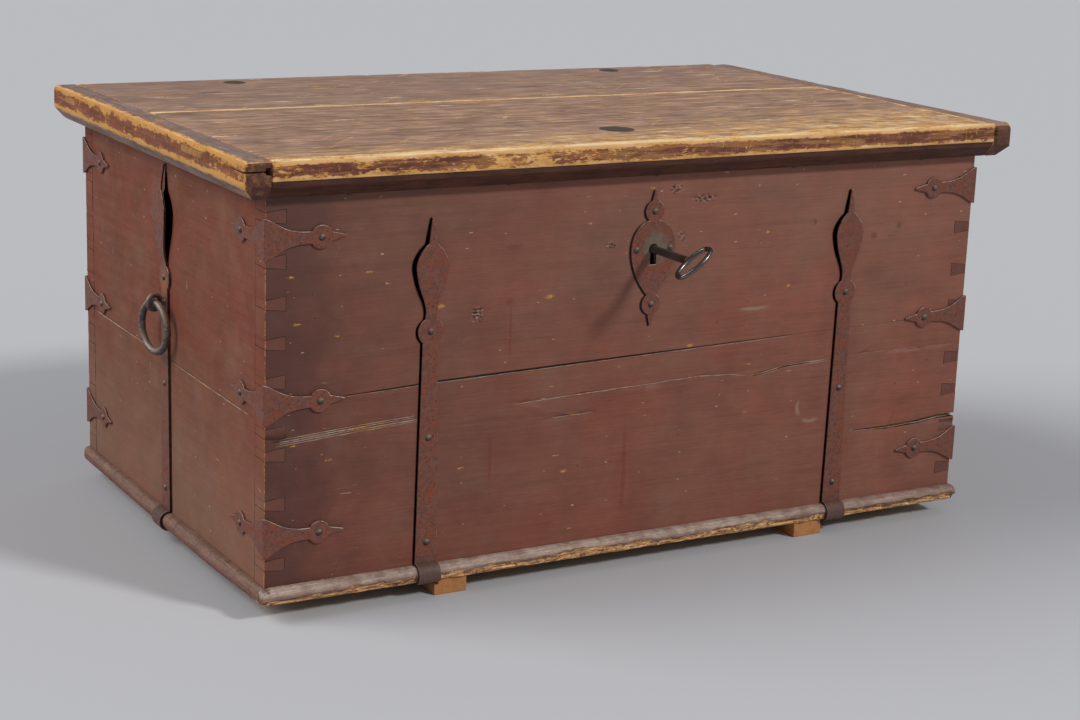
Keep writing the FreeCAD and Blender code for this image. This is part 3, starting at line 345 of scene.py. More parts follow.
def mark(add, flat, centre, half, ragged, size):
    """Mask of one oval mark on a surface, its border broken by noise of a size in millimetres."""
    moved = add("Mapping", None, {
        "Vector": flat, "Location": (-centre[0] / half[0], -centre[1] / half[1], 0),
        "Scale": (1 / (half[0] * MM), 1 / (half[1] * MM), 1)})
    away = add("VectorMath", {"operation": "LENGTH"}, (moved,), "Value")
    broken = add("TexNoise", FLAT, {"Vector": flat, "Scale": 1 / (size * MM), "Detail": 4.0, "Roughness": 0.65})
    edge = add("Math", TIMES_ADD, (broken, ragged, away))
    return add("MapRange", SMOOTH, (edge, 1 + ragged / 2, 0.4 + ragged / 2))


def heaped(add, parts):
    """Sum of fields, each with its share, every noise counted from its middle."""
    total = 0.0
    for field, share in parts:
        total = add("Math", PLUS, (add("Math", TIMES_ADD, (field, share, -share / 2)), total))
    return total


def rubbed(add, place, attribute, size, low, high, spread):
    """Ragged mask of rubbed wood or iron, where a wear attribute of the mesh, broken up by noise, passes a level."""
    worn = add("Attribute", {"attribute_name": attribute}, output="Fac")
    broken = add("TexNoise", None, {"Vector": place, "Scale": 1 / (size * MM), "Detail": 6.0, "Roughness": 0.68})
    ragged = add("Math", TIMES_ADD, (broken, spread, worn))
    return add("MapRange", SMOOTH, (ragged, low + spread / 2, high + spread / 2))


def layered(add, colour, layers):
    """Colour built up in layers: each is a mask, a colour and how strongly it covers."""
    for mask, over, cover in layers:
        share = add("Math", TIMES, (mask, cover))
        colour = add("Mix", COLOURS, {0: share, 6: colour, 7: over}, 2)
    return colour


def shaded(add, colour, *fields):
    """Colour made darker and lighter by fields of noise, each between its lowest and highest light."""
    for field, low, high in fields:
        light = add("MapRange", None, (field, *NOISE_SPAN, low, high))
        colour = add("Mix", TINTS, {0: 1.0, 6: colour, 7: light}, 2)
    return colour


def dress(add, colour, gloss, low, high, height, depth, shine=0.5, metal=0.0):
    """Ends a material: colour, roughness that follows a field, relief of a depth in millimetres, shine and metal."""
    surface = add("BsdfPrincipled", None, {
        "Base Color": colour, "Specular IOR Level": shine, "Metallic": metal,
        "Roughness": add("MapRange", None, (gloss, *NOISE_SPAN, low, high)),
        "Normal": add("Bump", None, {"Height": height, "Distance": depth * MM, "Strength": RELIEF_STRENGTH})})
    add("OutputMaterial", None, {"Surface": surface})


# Where a look starts and ends, in millimetres from the left corner or from the lid's front edge
CORNER_SHADE, CORNER_CHIPS, NOSE_BRUISE = (220, 80), (170, 50), (18, 4)
LID_STREAKS, LID_WASH, LID_GREY = (230, 15), (150, 10), (380, 620)
CHALK_FROM = 220 * MM
# Marks on the front: centre and half size in millimetres. A scuff is an oval less the same oval moved by a shift.
FRONT_RUNS = (
    ((-231, 421), (9, 7)), ((-228, 375), (3.2, 52)), ((-255, 190), (4, 52)), ((-28, 150), (5, 86)),
    ((-226, 500), (16, 5)))
FRONT_KNOTS = (
    ((42, 568), (15, 10)), ((92, 551), (27, 8)), ((-67, 491), (11, 8)), ((55, 497), (9, 9)), ((-282, 406), (14, 16)))
FRONT_SCUFFS = (((289, 210), (9, 15), (5, 2)), ((311, 190), (18, 8), (1, 4.5)), ((192, 377), (32, 5), (0, 5)))
FRONT_SMUDGES = (((412, 474), (8, 7)), ((460, 487), (7, 7)), ((297, 502), (4, 6)))


def end_marks(paint, add, place, parts):
    """Layers of the ends: dust settled low down, then upright chips and dirt along the corner joints' shoulders."""
    settled = add("MapRange", SMOOTH, (parts["Z"], (BODY_FOOT + BODY_RIM) / 2, BODY_FOOT))
    over = [(flecks(add, flat_place(add, place, "Z", "Y"), 27, 0.4, 0.8, 7.0), paint.chip, 0.5)]
    for shoulder in (FRONT_HIGH.y, BACK_LOW.y):
        beside = add("Math", {"operation": "COMPARE"}, (parts["Y"], shoulder, 0.9 * MM))
        broken = add("Math", TIMES, (beside, patches(add, place, 16, 0.36, 0.5, 5.0, 4.0)))
        over.append((broken, paint.grime, 0.7))
    return [(settled, paint.dust, 0.3)], over


def front_marks(paint, add, place, flat, beside):
    """Layers of the front alone: chips by the left corner, runs, smudges, scuffs, flaked knots and their relief."""
    chipped = add("MapRange", None, (beside, *(x * MM - HALF_WIDTH for x in CORNER_CHIPS)))
    over = [(add("Math", TIMES, (chipped, flecks(add, flat, 13, 0.35, 1.1, 4.0))), paint.ochre, 0.7)]
    over += [(mark(add, flat, centre, half, 0.7, 9), paint.stain, 0.4) for centre, half in FRONT_RUNS]
    over += [(mark(add, flat, centre, half, 0.6, 5), paint.grime, 0.35) for centre, half in FRONT_SMUDGES]
    for centre, half, shift in FRONT_SCUFFS:
        inner = (centre[0] + shift[0], centre[1] + shift[1])
        ovals = [mark(add, flat, middle, half, 0.4, 5) for middle in (centre, inner)]
        over.append((add("Math", {"operation": "SUBTRACT", "use_clamp": True}, ovals), paint.dust, 0.7))
    over.append((flecks(add, flat, 85, 0.45, 2.4, 2.2), paint.ochre, 0.7))
    flaked = grain(add, place, 0, 2.6, 2.2, 3.0)
    torn = add("MapRange", SMOOTH, (flaked, 0.53, 0.57))
    lifted = add("MapRange", SMOOTH, (flaked, 0.46, 0.41))
    heights = []
    for centre, half in FRONT_KNOTS:
        where = mark(add, flat, centre, half, 0.9, 6)
        gone, curled = (add("Math", TIMES, (where, field)) for field in (torn, lifted))
        over += [(gone, paint.grime, 0.9), (curled, paint.dust, 0.95)]
        heights += [(gone, -1.6), (curled, 0.8)]
    return over, heights


def painted_pine(paint, add, place, axis, tones, dusty, front=False):
    """Pine boards under old red-brown oil paint, brushed on along the board.

    The eye gets a matt skin with fine ridges along the grain, red that drifts to brown, a little dust, small chips down
    to pale ground or yellow wood, dark joints and arrises rubbed to orange wood. The ends are dusty low down. The front
    is painted lighter from left to right as painted light from the right, is chalky high up, more so to the right, and
    has red runs, smudges, scuffs and flaked knots.
    """
    red, brown = (getattr(paint, tone) for tone in tones)
    flat = flat_place(add, place, "XY"[axis], "Z")
    parts = add("SeparateXYZ", None, (place,)).node.outputs
    lines = grain(add, place, axis, 2.4, 40)
    streaks = grain(add, place, axis, 13, 14)
    fine = grain(add, place, axis, 1.0, 22)
    mottle = add("TexNoise", None, {"Vector": place, "Scale": 1 / (60 * MM), "Detail": 6.0, "Roughness": 0.6})
    pale = flecks(add, flat, 21, 0.42, 0.9, 3.0)
    base = layered(add, red, [(patches(add, place, 230, 0.35, 0.65, 4.0), brown, 1.0)])
    base = shaded(add, base, (lines, 0.92, 1.08), (fine, 0.9, 1.1), (mottle, 0.86, 1.14))
    under, dust_on, over, heights = [], [], [], []
    if axis == 1:
        dust_on, over = end_marks(paint, add, place, parts)
    if front:
        # Painted light: the front is made lighter from left to right, as the light from the right falls on it; the
        # chalk high up follows the same ramp
        painted_light_and_chalk_ramp = add("MapRange", None, (parts["X"], -HALF_WIDTH, HALF_WIDTH, 0.3, 0.9))
        base = shaded(add, base, (painted_light_and_chalk_ramp, 0.9, 1.24))
        high_up = add("MapRange", SMOOTH, (parts["Z"], CHALK_FROM, BODY_RIM))
        dust_on = [(add("Math", TIMES, (high_up, painted_light_and_chalk_ramp)), paint.dust, 0.19)]
        beside = add("Math", TIMES_ADD, (mottle, 120 * MM, parts["X"]))
        corner = add("MapRange", SMOOTH, (beside, *(x * MM - HALF_WIDTH for x in CORNER_SHADE)))
        under = [(corner, paint.shade, 0.85)]
        over, heights = front_marks(paint, add, place, flat, parts["X"])
    layers = [
        *under,
        (add("MapRange", SMOOTH, (streaks, 0.5, 0.72)), paint.shade, 0.1 if axis else 0.2),
        (patches(add, place, 55, 0.46, 0.78, 7.0, 3.0), paint.dust, dusty),
        *dust_on,
        (flecks(add, flat, 33, 0.2, 1.3, 1.8), paint.grime, 0.5),
        (pale, paint.chip, 0.62),
        (flecks(add, flat, 37, 0.34, 1.0, 4.5), paint.ochre, 0.65),
        (flecks(add, flat, 34, 0.35, 0.6, 16.0), paint.chip, 0.35),
        (rubbed(add, place, "joint", 15, 0.85, 1.15, 1.1), paint.grime, 0.55),
        (rubbed(add, place, "arris", 7, 0.94, 1.06, 0.9), paint.ochre, 0.7),
        *over]
    relief = heaped(add, [(lines, 1.0), (fine, 0.5), (pale, -0.6), *heights])
    dress(add, layered(add, base, layers), streaks, 0.5, 0.7, relief, 0.45, 0.12 if axis else 0.3)


def painted_end_grain(paint, add, place):
    """End grain of the corner joints under the same paint, which the eye sees as a slightly greyer, rougher brown."""
    pores = grain(add, place, 2, 1.6, 4)
    cloud = patches(add, place, 12, 0.35, 0.7, 5.0, 1.0)
    colour = layered(add, shaded(add, paint.pin, (pores, 0.92, 1.06)), [
        (cloud, paint.shade, 0.18),
        (rubbed(add, place, "joint", 15, 0.85, 1.15, 1.1), paint.grime, 0.55),
        (rubbed(add, place, "arris", 7, 0.98, 1.1, 0.9), paint.amber, 0.85)])
    dress(add, colour, cloud, 0.55, 0.72, pores, 0.4, 0.3)


def rubbed_pine(paint, add, place, axis, across, tones, streaky, scratched, hold=0.0):
    """Pine of the lid, its paint rubbed thin by use.

    The eye gets brown paint with dark and light grain, yellow streaks where the hard grain shows through, most of them
    towards the front, oblique scratches on the edges, and corners worn to bare straw-coloured wood with a ragged border
    of thin paint. The streaks and flecks on top are coarser than pine's own, because the lid is seen at a low angle.
    """
    ground, shade, bright = (getattr(paint, tone) for tone in tones)
    on_top, upright = across == "Y", across == "Z"
    coarse = 2.0 if on_top else 1.0
    flat = flat_place(add, place, "XY"[axis], across)
    parts = add("SeparateXYZ", None, (place,)).node.outputs
    lines = grain(add, place, axis, 3.0 * coarse, 24)
    wide = grain(add, place, axis, 16, 8)
    narrow = grain(add, place, axis, 7, 11)
    fine = grain(add, place, axis, 1.0, 14)
    cloud = add("TexNoise", None, {"Vector": place, "Scale": 1 / (48 * MM), "Detail": 6.0, "Roughness": 0.62})
    ahead = add("Math", TIMES_ADD, (parts["X"], -0.15, parts["Y"]))
    near = add("MapRange", SMOOTH, (ahead, *(LID_FRONT + y * MM for y in LID_STREAKS)))
    lights = [
        (lines, 0.76, 1.22), (fine, 0.8, 1.2), (cloud, 0.74, 1.22),
        (grain(add, place, axis, 14 * coarse, 2.5), 0.84, 1.16)]
    if on_top:
        lights += [(grain(add, place, axis, 7, 7), 0.72, 1.3), (grain(add, place, axis, 11, 12), 0.78, 1.24)]
    worn = add("Attribute", {"attribute_name": "wear"}, output="Fac")
    broad = add("TexNoise", None, {"Vector": place, "Scale": 1 / (70 * MM), "Detail": 3.0})
    uneven = heaped(add, [
        (broad, 0.9), (grain(add, place, axis, 12 * coarse, 3.0), 1.0),
        (grain(add, place, axis, 5 * coarse, 3.0), 1.3), (grain(add, place, axis, 1.5, 4.0), 1.2)])
    field = add("Math", PLUS, (add("Math", MINUS, (worn, hold)), uneven))
    thin, bare, polished = (
        add("MapRange", SMOOTH, (field, low, high)) for low, high in ((0.22, 0.46), (0.4, 0.56), (0.62, 1.0)))
    mellow = add("MapRange", SMOOTH, (grain(add, place, axis, 6, 5), 0.42, 0.68))
    wood = layered(add, paint.ochre, [(mellow, bright, 1.0)])
    wood = shaded(add, wood, (narrow, 0.82, 1.18), (fine, 0.78, 1.2))
    streak = add("MapRange", SMOOTH, (add("Math", TIMES_ADD, (near, 0.13, narrow)), 0.58, 0.67))
    layers = [(add("MapRange", SMOOTH, (wide, 0.5, 0.64)), shade, 0.35), (streak, wood, 0.95 * streaky)]
    if on_top:
        close = add("MapRange", SMOOTH, (ahead, *(LID_FRONT + y * MM for y in LID_WASH)))
        far = add("MapRange", SMOOTH, (ahead, *(LID_FRONT + y * MM for y in LID_GREY)))
        washed = add("Math", TIMES, (close, patches(add, place, 30, 0.42, 0.56, 7.0, 8.0)))
        layers += [(washed, wood, 1.3 * streaky), (far, paint.cleat, 0.35)]
    layers += [
        (flecks(add, flat, 60, 0.45, 2.4 * coarse, 4.0), paint.grime, 0.6),
        (flecks(add, flat, 23, 0.4, 1.7 * coarse, 4.0), paint.ochre, streaky * 1.2),
        (flecks(add, flat, 34, 0.5, 1.4 * coarse, 6.0), bright, streaky * 1.5)]
    for turn, spacing in ((0.5, 5.0), (-0.25, 3.5)):
        turned = add("Mapping", {"vector_type": "TEXTURE"}, {
            "Vector": place, "Rotation": (turn, turn, 0) if upright else (0, 0, 1.6 * turn)})
        cuts = grain(add, turned, 2 if upright else 0, spacing * coarse, 16, 2.0)
        where = patches(add, place, 70, 0.44, 0.62, 4.0, turn)
        scored = add("Math", TIMES, (add("MapRange", SMOOTH, (cuts, 0.64, 0.7)), where))
        layers.append((scored, wood, scratched))
    layers += [
        (thin, paint.amber, 0.6), (bare, wood, 0.95), (polished, bright, 0.65),
        (rubbed(add, place, "joint", 9, 0.6, 0.9, 0.6), paint.grime, 0.85)]
    colour = layered(add, shaded(add, ground, *lights), layers)
    dress(add, colour, wide, 0.46, 0.68, heaped(add, [(lines, 1.0), (fine, 0.6), (bare, -0.5)]), 0.55, 0.2)


def bare_pine(paint, add, place, axis, tones):
    """Planed or sawn pine, never painted, gone brown with age.

    The eye gets warm brown wood with darker late-wood lines along the board, a few dark knots and a dull surface.
    """
    wood, late_wood = (getattr(paint, tone) for tone in tones)
    bent = add("TexNoise", None, {"Vector": place, "Scale": 1 / (25 * MM), "Detail": 2.0})
    cells = add("TexVoronoi", None, {"Vector": place, "Scale": 1 / (210 * MM)}, "Distance")
    from_knot = add("Math", TIMES_ADD, (bent, 0.05, cells))
    rings = grain(add, place, axis, 9, 40, 3.0)
    fine = grain(add, place, axis, 1.3, 40)
    colour = layered(add, shaded(add, wood, (fine, 0.86, 1.12)), [
        (add("MapRange", SMOOTH, (rings, 0.48, 0.62)), late_wood, 0.5),
        (patches(add, place, 150, 0.3, 0.7, 3.0, 5.0), late_wood, 0.3),
        (patches(add, place, 60, 0.5, 0.75, 6.0, 2.0), paint.shade, 0.16),
        (add("MapRange", SMOOTH, (from_knot, 0.1, 0.07)), late_wood, 0.8),
        (add("MapRange", SMOOTH, (from_knot, 0.07, 0.045)), paint.shade, 0.75)])
    dress(add, colour, rings, 0.6, 0.75, heaped(add, [(rings, 1.0), (fine, 0.5)]), 0.35)


def dusty_nose(paint, add, place, axis):
    """Pine bottom boards with a rounded nose, thinly painted, dusty, and broken along the lower front edge.

    The eye gets dull grey-pink dust above red-brown paint, browner on the ends and thinner towards the right, fine dark
    cracks across the ends' nose, and amber and yellow wood in the breaks.
    """
    parts = add("SeparateXYZ", None, (place,)).node.outputs
    lines = grain(add, place, axis, 2.0, 30)
    fine = grain(add, place, axis, 0.9, 10)
    cloud = patches(add, place, 18, 0.3, 0.66, 7.0, 2.0)
    dust = add("MapRange", SMOOTH, (parts["Z"], BODY_FOOT - 18 * MM, BODY_FOOT - 4 * MM))
    for thinner in ((cloud, 0.0, 1.0, 0.35, 1.0), (parts["X"], 0.3 * HALF_WIDTH, HALF_WIDTH, 1.0, 0.55)):
        dust = add("Math", TIMES, (dust, add("MapRange", None, thinner)))
    wobble = add("Math", TIMES_ADD, (cloud, 5 * MM, parts[axis]))
    gaps = add("TexVoronoi", {"voronoi_dimensions": "1D", "feature": "DISTANCE_TO_EDGE"}, {
        "W": wobble, "Scale": 1 / (70 * MM)}, "Distance")
    crack = add("MapRange", SMOOTH, (gaps, 0.011, 0.005))
    wood = layered(add, paint.amber, [(add("MapRange", SMOOTH, (lines, 0.35, 0.65)), paint.honey, 1.0)])
    rough = rubbed(add, place, "wear", 5, 0.3, 0.46, 0.8)
    layers = [
        (dust, paint.dust if axis else paint.nose, 0.5 if axis else 0.95),
        (crack, paint.grime, 0.6 if axis else 0.0),
        (rubbed(add, place, "wear", 6, 0.3, 0.46, 1.0), shaded(add, wood, (fine, 0.6, 1.35)), 0.97),
        (add("Math", TIMES, (rough, patches(add, place, 9, 0.54, 0.64, 5.0, 7.0))), paint.shade, 0.75)]
    if axis == 0:
        beside = add("Math", TIMES_ADD, (cloud, 26 * MM, parts["X"]))
        bruise = add("MapRange", SMOOTH, (beside, *(x * MM - HALF_WIDTH for x in NOSE_BRUISE)))
        layers.append((bruise, paint.grime, 0.7))
    colour = layered(add, shaded(add, paint.brown, (lines, 0.82, 1.14)), layers)
    colour = shaded(add, colour, (fine, 0.66, 1.3), (lines, 0.76, 1.2))
    dress(add, colour, cloud, 0.62, 0.8, heaped(add, [(lines, 1.0), (fine, 0.7), (crack, -0.8)]), 0.55)


def end_grain(paint, add, place):
    """Sawn end of a pine tenon, rubbed by use, which the eye sees as dull yellow-brown with short dark pores."""
    pores = grain(add, place, 2, 1.4, 5)
    cloud = patches(add, place, 9, 0.35, 0.65, 4.0, 1.0)
    colour = layered(add, shaded(add, paint.ochre, (pores, 0.5, 0.85)), [(cloud, paint.amber, 0.75)])
    dress(add, colour, cloud, 0.62, 0.76, pores, 0.4)


def grimed_pine(paint, add, place):
    """Rough pine in cracks and joints, black with old dirt, which the eye sees as a dark gap with brown splinters."""
    lines = grain(add, place, 0, 2.0, 25)
    torn = add("MapRange", SMOOTH, (lines, 0.56, 0.72))
    dress(add, layered(add, paint.grime, [(torn, paint.pine_dark, 0.35)]), lines, 0.8, 0.9, lines, 0.4)


def painted_iron(paint, add, place, handled=False):
    """Forged wrought iron, hammered and painted with the chest.

    The eye gets the boards' red-brown with rust bleeding through, dark pits, pale rubbed paint along the filed edges,
    palest on the edges that face the key light as a painted highlight, amber paint above the ring's eye and grey iron
    on the straps' feet. The escutcheon is rubbed grey-green by hands round its keyhole.
    """
    hammer = patches(add, place, 8, 0.3, 0.7, 3.0, 1.0)
    rust = patches(add, place, 20, 0.44, 0.64, 6.0, 4.0)
    pits = patches(add, place, 3.4, 0.54, 0.66, 4.0, 6.0)
    worn = rubbed(add, place, "arris", 13, 0.86, 1.2, 1.4)
    rise = add("SeparateXYZ", None, (place,), "Z")
    layers = [(rust, paint.rust, 0.6), (pits, paint.shade, 0.85)]
    if handled:
        middle = sum(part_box("key"), Vector()) / 2 / MM
        keyhole = (middle.x + 4, middle.z + 3)
        layers.append((mark(add, flat_place(add, place, "X", "Z"), keyhole, (25, 30), 0.9, 14), paint.handled, 0.8))
    strap = sum(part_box("end_strap_left"), Vector()) / 2 / MM
    over_eye = (strap.y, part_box("handle_eye_left")[1].z / MM + 14)
    layers += [
        (mark(add, flat_place(add, place, "Y", "Z"), over_eye, (22, 26), 0.8, 8), paint.amber, 0.75),
        # Pale edges of the irons: rubbed paint, and a painted highlight where the edges face the key light
        (worn, paint.iron_rub, 0.85),
        (add("MapRange", SMOOTH, (rise, BODY_FOOT + 16 * MM, BODY_FOOT - 4 * MM)), paint.iron, 0.55)]
    colour = layered(add, shaded(add, paint.iron_paint, (hammer, 0.9, 1.1)), layers)
    relief = heaped(add, [(hammer, 1.0), (pits, -0.6)])
    dress(add, colour, rust, 0.5, 0.66, relief, 0.55, 0.28, add("Math", TIMES, (worn, 0.3)))


def forged_iron(paint, add, place, tone, metal, low, high, dusty):
    """Wrought iron from the hammer, blackened, never painted.

    The eye gets dark grey-brown metal with soft dull highlights, a brown bloom of rust, and dust on what faces up.
    """
    hammer = patches(add, place, 5, 0.3, 0.7, 3.0, 1.0)
    bloom = patches(add, place, 14, 0.45, 0.7, 6.0, 4.0)
    up = add("SeparateXYZ", None, (add("TexCoord", output="Normal"),), "Z")
    dust = add("MapRange", SMOOTH, (add("Math", TIMES_ADD, (hammer, 0.4, up)), -0.1, 0.8))
    colour = layered(add, shaded(add, getattr(paint, tone), (hammer, 0.75, 1.15)), [
        (bloom, paint.rust, 0.3), (dust, paint.iron_dust, dusty)])
    dress(add, colour, bloom, low, high, hammer, 0.35, metal=metal)


def worked_steel(paint, add, place):
    """Steel key, filed and dark from handling, its bow polished by hands.

    The eye gets grey metal with soft scratches that is brightest on the bow.
    """
    scratches = grain(add, place, 1, 0.9, 20)
    stain = patches(add, place, 9, 0.42, 0.66, 5.0, 2.0)
    along = add("SeparateXYZ", None, (place,), "Y")
    shank = add("MapRange", SMOOTH, (along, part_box("key")[0].y + 40 * MM, FRONT_FACE - 55 * MM))
    colour = layered(add, shaded(add, paint.steel, (scratches, 0.9, 1.08)), [
        (stain, paint.iron, 0.55), (shank, paint.steel_dark, 0.9)])
    metal = add("MapRange", None, (shank, 0.0, 1.0, 1.0, 0.2))
    dress(add, colour, stain, 0.24, 0.42, scratches, 0.03, metal=metal)


def splinter_wood(paint, add, place):
    """Torn pine along a crack, with paint left on it, which the eye sees as a pale broken line."""
    left = patches(add, place, 14, 0.4, 0.6, 4.0, 1.0)
    colour = layered(add, shaded(add, paint.chip, (left, 0.75, 1.0)), [
        (patches(add, place, 45, 0.5, 0.6, 3.0, 9.0), paint.ochre, 0.7), (left, paint.brown, 0.6)])
    dress(add, colour, left, 0.65, 0.78, left, 0.2)


def packed_dirt(paint, add, place):
    """Old wax and soot packed beside the iron, with the iron's shadow painted in, which the eye sees as a dull black
    line.
    """
    cloud = patches(add, place, 20, 0.45, 0.75, 4.0, 3.0)
    dress(add, layered(add, paint.grime, [(cloud, paint.shade, 0.45)]), cloud, 0.8, 0.9, cloud, 0.2)


def studio_paper(name, colour):
    """Matt studio paper for the floor, which the eye reads as plain pale grey."""
    material, add = new_material(name)
    surface = add("BsdfPrincipled", None, {"Base Color": colour, "Roughness": 0.85, "Specular IOR Level": 0.2})
    add("OutputMaterial", None, {"Surface": surface})
    return material


MAKERS = {
    "oil_paint_on_pine_front": (painted_pine, 0, ("red", "brown"), 0.1, True),
    "oil_paint_on_pine_back": (painted_pine, 0, ("red", "brown"), 0.14),
    "oil_paint_on_pine_end": (painted_pine, 1, ("end_red", "end_brown"), 0.2),
    "oil_paint_on_end_grain": (painted_end_grain,),
    "rubbed_pine_planks": (rubbed_pine, 0, "Y", ("lid", "lid_shade", "straw"), 0.55, 0.5),
    "rubbed_pine_plank_edge": (rubbed_pine, 0, "Z", ("lid_edge", "shade", "honey"), 0.3, 0.85),
    "rubbed_pine_cleat_top": (rubbed_pine, 1, "X", ("cleat", "lid_shade", "honey"), 0.25, 0.0),
    "rubbed_pine_cleat_side": (rubbed_pine, 1, "Z", ("cleat_side", "shade", "ochre"), 0.3, 0.6),
    "rubbed_pine_cleat_end": (rubbed_pine, 1, "Z", ("cleat_end", "shade", "honey"), 0.05, 0.0, 0.3),
    "rubbed_pine_cleat_end_left": (rubbed_pine, 1, "Z", ("cleat_end", "shade", "ochre"), 0.15, 0.0, 0.3),
    "rubbed_pine_lip": (rubbed_pine, 0, "Z", ("lip", "shade", "ochre"), 0.03, 0.0, 0.6),
    "sawn_pine_end_grain": (end_grain,),
    "grimed_split_pine": (grimed_pine,),
    "torn_pine_splinters": (splinter_wood,),
    "planed_pine_long": (bare_pine, 0, ("pine", "pine_dark")),
    "planed_pine_across": (bare_pine, 1, ("pine", "pine_dark")),
    "sawn_pine_runner": (bare_pine, 1, ("runner", "amber")),
    "dusty_pine_nose_front": (dusty_nose, 0),
    "dusty_pine_nose_end": (dusty_nose, 1),
    "painted_wrought_iron": (painted_iron,),
    "painted_wrought_iron_handled": (painted_iron, True),
    "black_wrought_iron": (forged_iron, "iron", 0.6, 0.42, 0.62, 0.15),
    "dusty_wrought_iron": (forged_iron, "iron", 0.35, 0.48, 0.7, 0.85),
    # Dark sides of the irons: dirt, and painted shade where the iron's edges stand up from the wood
    "grimed_wrought_iron": (forged_iron, "grime", 0.2, 0.7, 0.85, 0.0),
    "forged_nail_iron": (forged_iron, "nail", 0.1, 0.42, 0.6, 0.5),
    "forged_rivet_iron": (forged_iron, "nail", 0.1, 0.5, 0.66, 0.1),
    "packed_dirt": (packed_dirt,),
    "filed_steel_key": (worked_steel,),
}


# Pieces

TOUCH = 2 * MM
CORNER_TOUCH = 1.6 * MM
CRACK_REACH = 7 * MM
CRACK_OVERRUN = 0.1
LEAST_OUTLINE = 6 * MM
# Distances from an edge, in millimetres, at which a mesh is cut so that the edge can be rounded or broken
EDGE_CUTS = (0.7, 1.8, 3.5, 6, 9.5)
NOSE_CUTS = (2, 4, 7, 11, 15, 17)
NOSE_DEPTH = 17 * MM
WORN_CORNER = 170 * MM
BROKEN_FROM = 370 * MM
CLEAT_CHAMFER = 20 * MM
LID_BARE_AT = -190 * MM
LID_BARE_HALF = 150 * MM
# The way that the most rubbed edges of the irons face: up and towards the key light, so their pale edges are wear and a
# painted highlight
IRON_RUB_AND_HIGHLIGHT_WAY = Vector((0.3, -0.15, 0.95))
DIRT_SHADOW_PROUD = 0.4 * MM
DIRT_SHADOW_ROOT = 0.8 * MM
SPLINTER_ROOT = 0.8 * MM
SPLINTER_STEP = 5 * MM
SPLINTER_LEAST = 0.14
TAPER_ROWS = 4
FRONT_WAY = Vector((0, -1, 0))
LEFT_WAY = Vector((-1, 0, 0))

# Cracks and the open part of the seam, as shares of the half width and of the walls' height
CRACKS = {
    "left": ((-0.98, 0.361), (-0.84, 0.372), (-0.727, 0.379), (-0.61, 0.385)),
    "middle": ((-0.373, 0.389), (-0.158, 0.3975), (0.018, 0.402), (0.164, 0.408), (0.264, 0.402), (0.316, 0.393)),
    "short": ((-0.276, 0.341), (-0.202, 0.343), (-0.128, 0.344)),
    "knot": ((0.322, 0.39), (0.349, 0.395), (0.426, 0.409), (0.476, 0.412), (0.575, 0.415)),
    "right": ((0.635, 0.4195), (0.861, 0.419), (0.985, 0.4185)),
    "corner": ((0.637, 0.2), (0.773, 0.197), (0.875, 0.201), (0.941, 0.209), (1.02, 0.208)),
}
FRONT_SEAM = ((-0.81, 0.46), (-0.567, 0.471), (-0.15, 0.481), (0.45, 0.495))
# Slivers along them: the crack, how far below it and how wide, in millimetres
LIPS = (
    ("seam", 1.4, 1.9), ("left", -3.6, 2.6), ("left", -0.8, 3.0), ("left", 2.2, 2.8), ("left", 5.2, 2.4),
    ("middle", -0.7, 2.8), ("short", -0.7, 2.4), ("knot", -0.9, 2.4), ("knot", 2.4, 1.4), ("right", -0.7, 1.6),
    ("corner", 0.2, 2.8))
# The same for the left end's seam: places along it and their height above it, in millimetres
LEFT_END_LIPS = (((-270, 0.6), (45, 4.2)), ((70, 4.5), (385, 8.2)))
END_SKINS = ("oil_paint_on_pine_end", "oil_paint_on_end_grain", "planed_pine_across", "grimed_split_pine")
WALL_SKINS = {
    "front": ("oil_paint_on_pine_front", "oil_paint_on_pine_end", "planed_pine_long", "grimed_split_pine"),
    "back": ("oil_paint_on_pine_back", "oil_paint_on_pine_end", "planed_pine_long", "grimed_split_pine"),
    "left": END_SKINS,
    "right": END_SKINS,
}


def on_end(place, near=TOUCH):
    """Whether a place lies on the outer face of an end."""
    return abs(abs(place.x) - HALF_WIDTH) < near


def on_front_or_back(place, near=TOUCH):
    """Whether a place lies on the outer face of the front or the back."""
    return place.y - FRONT_FACE < near or BACK_FACE - place.y < near


def outside(place):
    """Whether a place lies on the outer faces of the chest's walls."""
    return on_end(place) or on_front_or_back(place)


def at_corner(edge):
    """Whether an edge lies on the upright corners, and not in a joint."""
    return all(on_end(v.co, CORNER_TOUCH) and on_front_or_back(v.co, CORNER_TOUCH) for v in edge.verts)


def front_place(across, rise):
    """A place on the front, from shares of the half width and of the height of the walls."""
    return Vector((HALF_WIDTH * across, FRONT_FACE, BODY_FOOT + (BODY_RIM - BODY_FOOT) * rise))


def in_crack(place):
    """Whether a place on the front lies at one of its cracks."""
    if place.y - FRONT_FACE > TOUCH:
        return False
    for line in CRACKS.values():
        for start, stop in zip(line, line[1:]):
            near, share = intersect_point_line(place, front_place(*start), front_place(*stop))
            if -CRACK_OVERRUN < share < 1 + CRACK_OVERRUN and (near - place).length < CRACK_REACH:
                return True
    return False


def is_outline(edge):
    """Whether an edge of the outer faces belongs to a board's outline, and not to a crack."""
    return edge.calc_length() > LEAST_OUTLINE and all(outside(v.co) and not in_crack(v.co) for v in edge.verts)


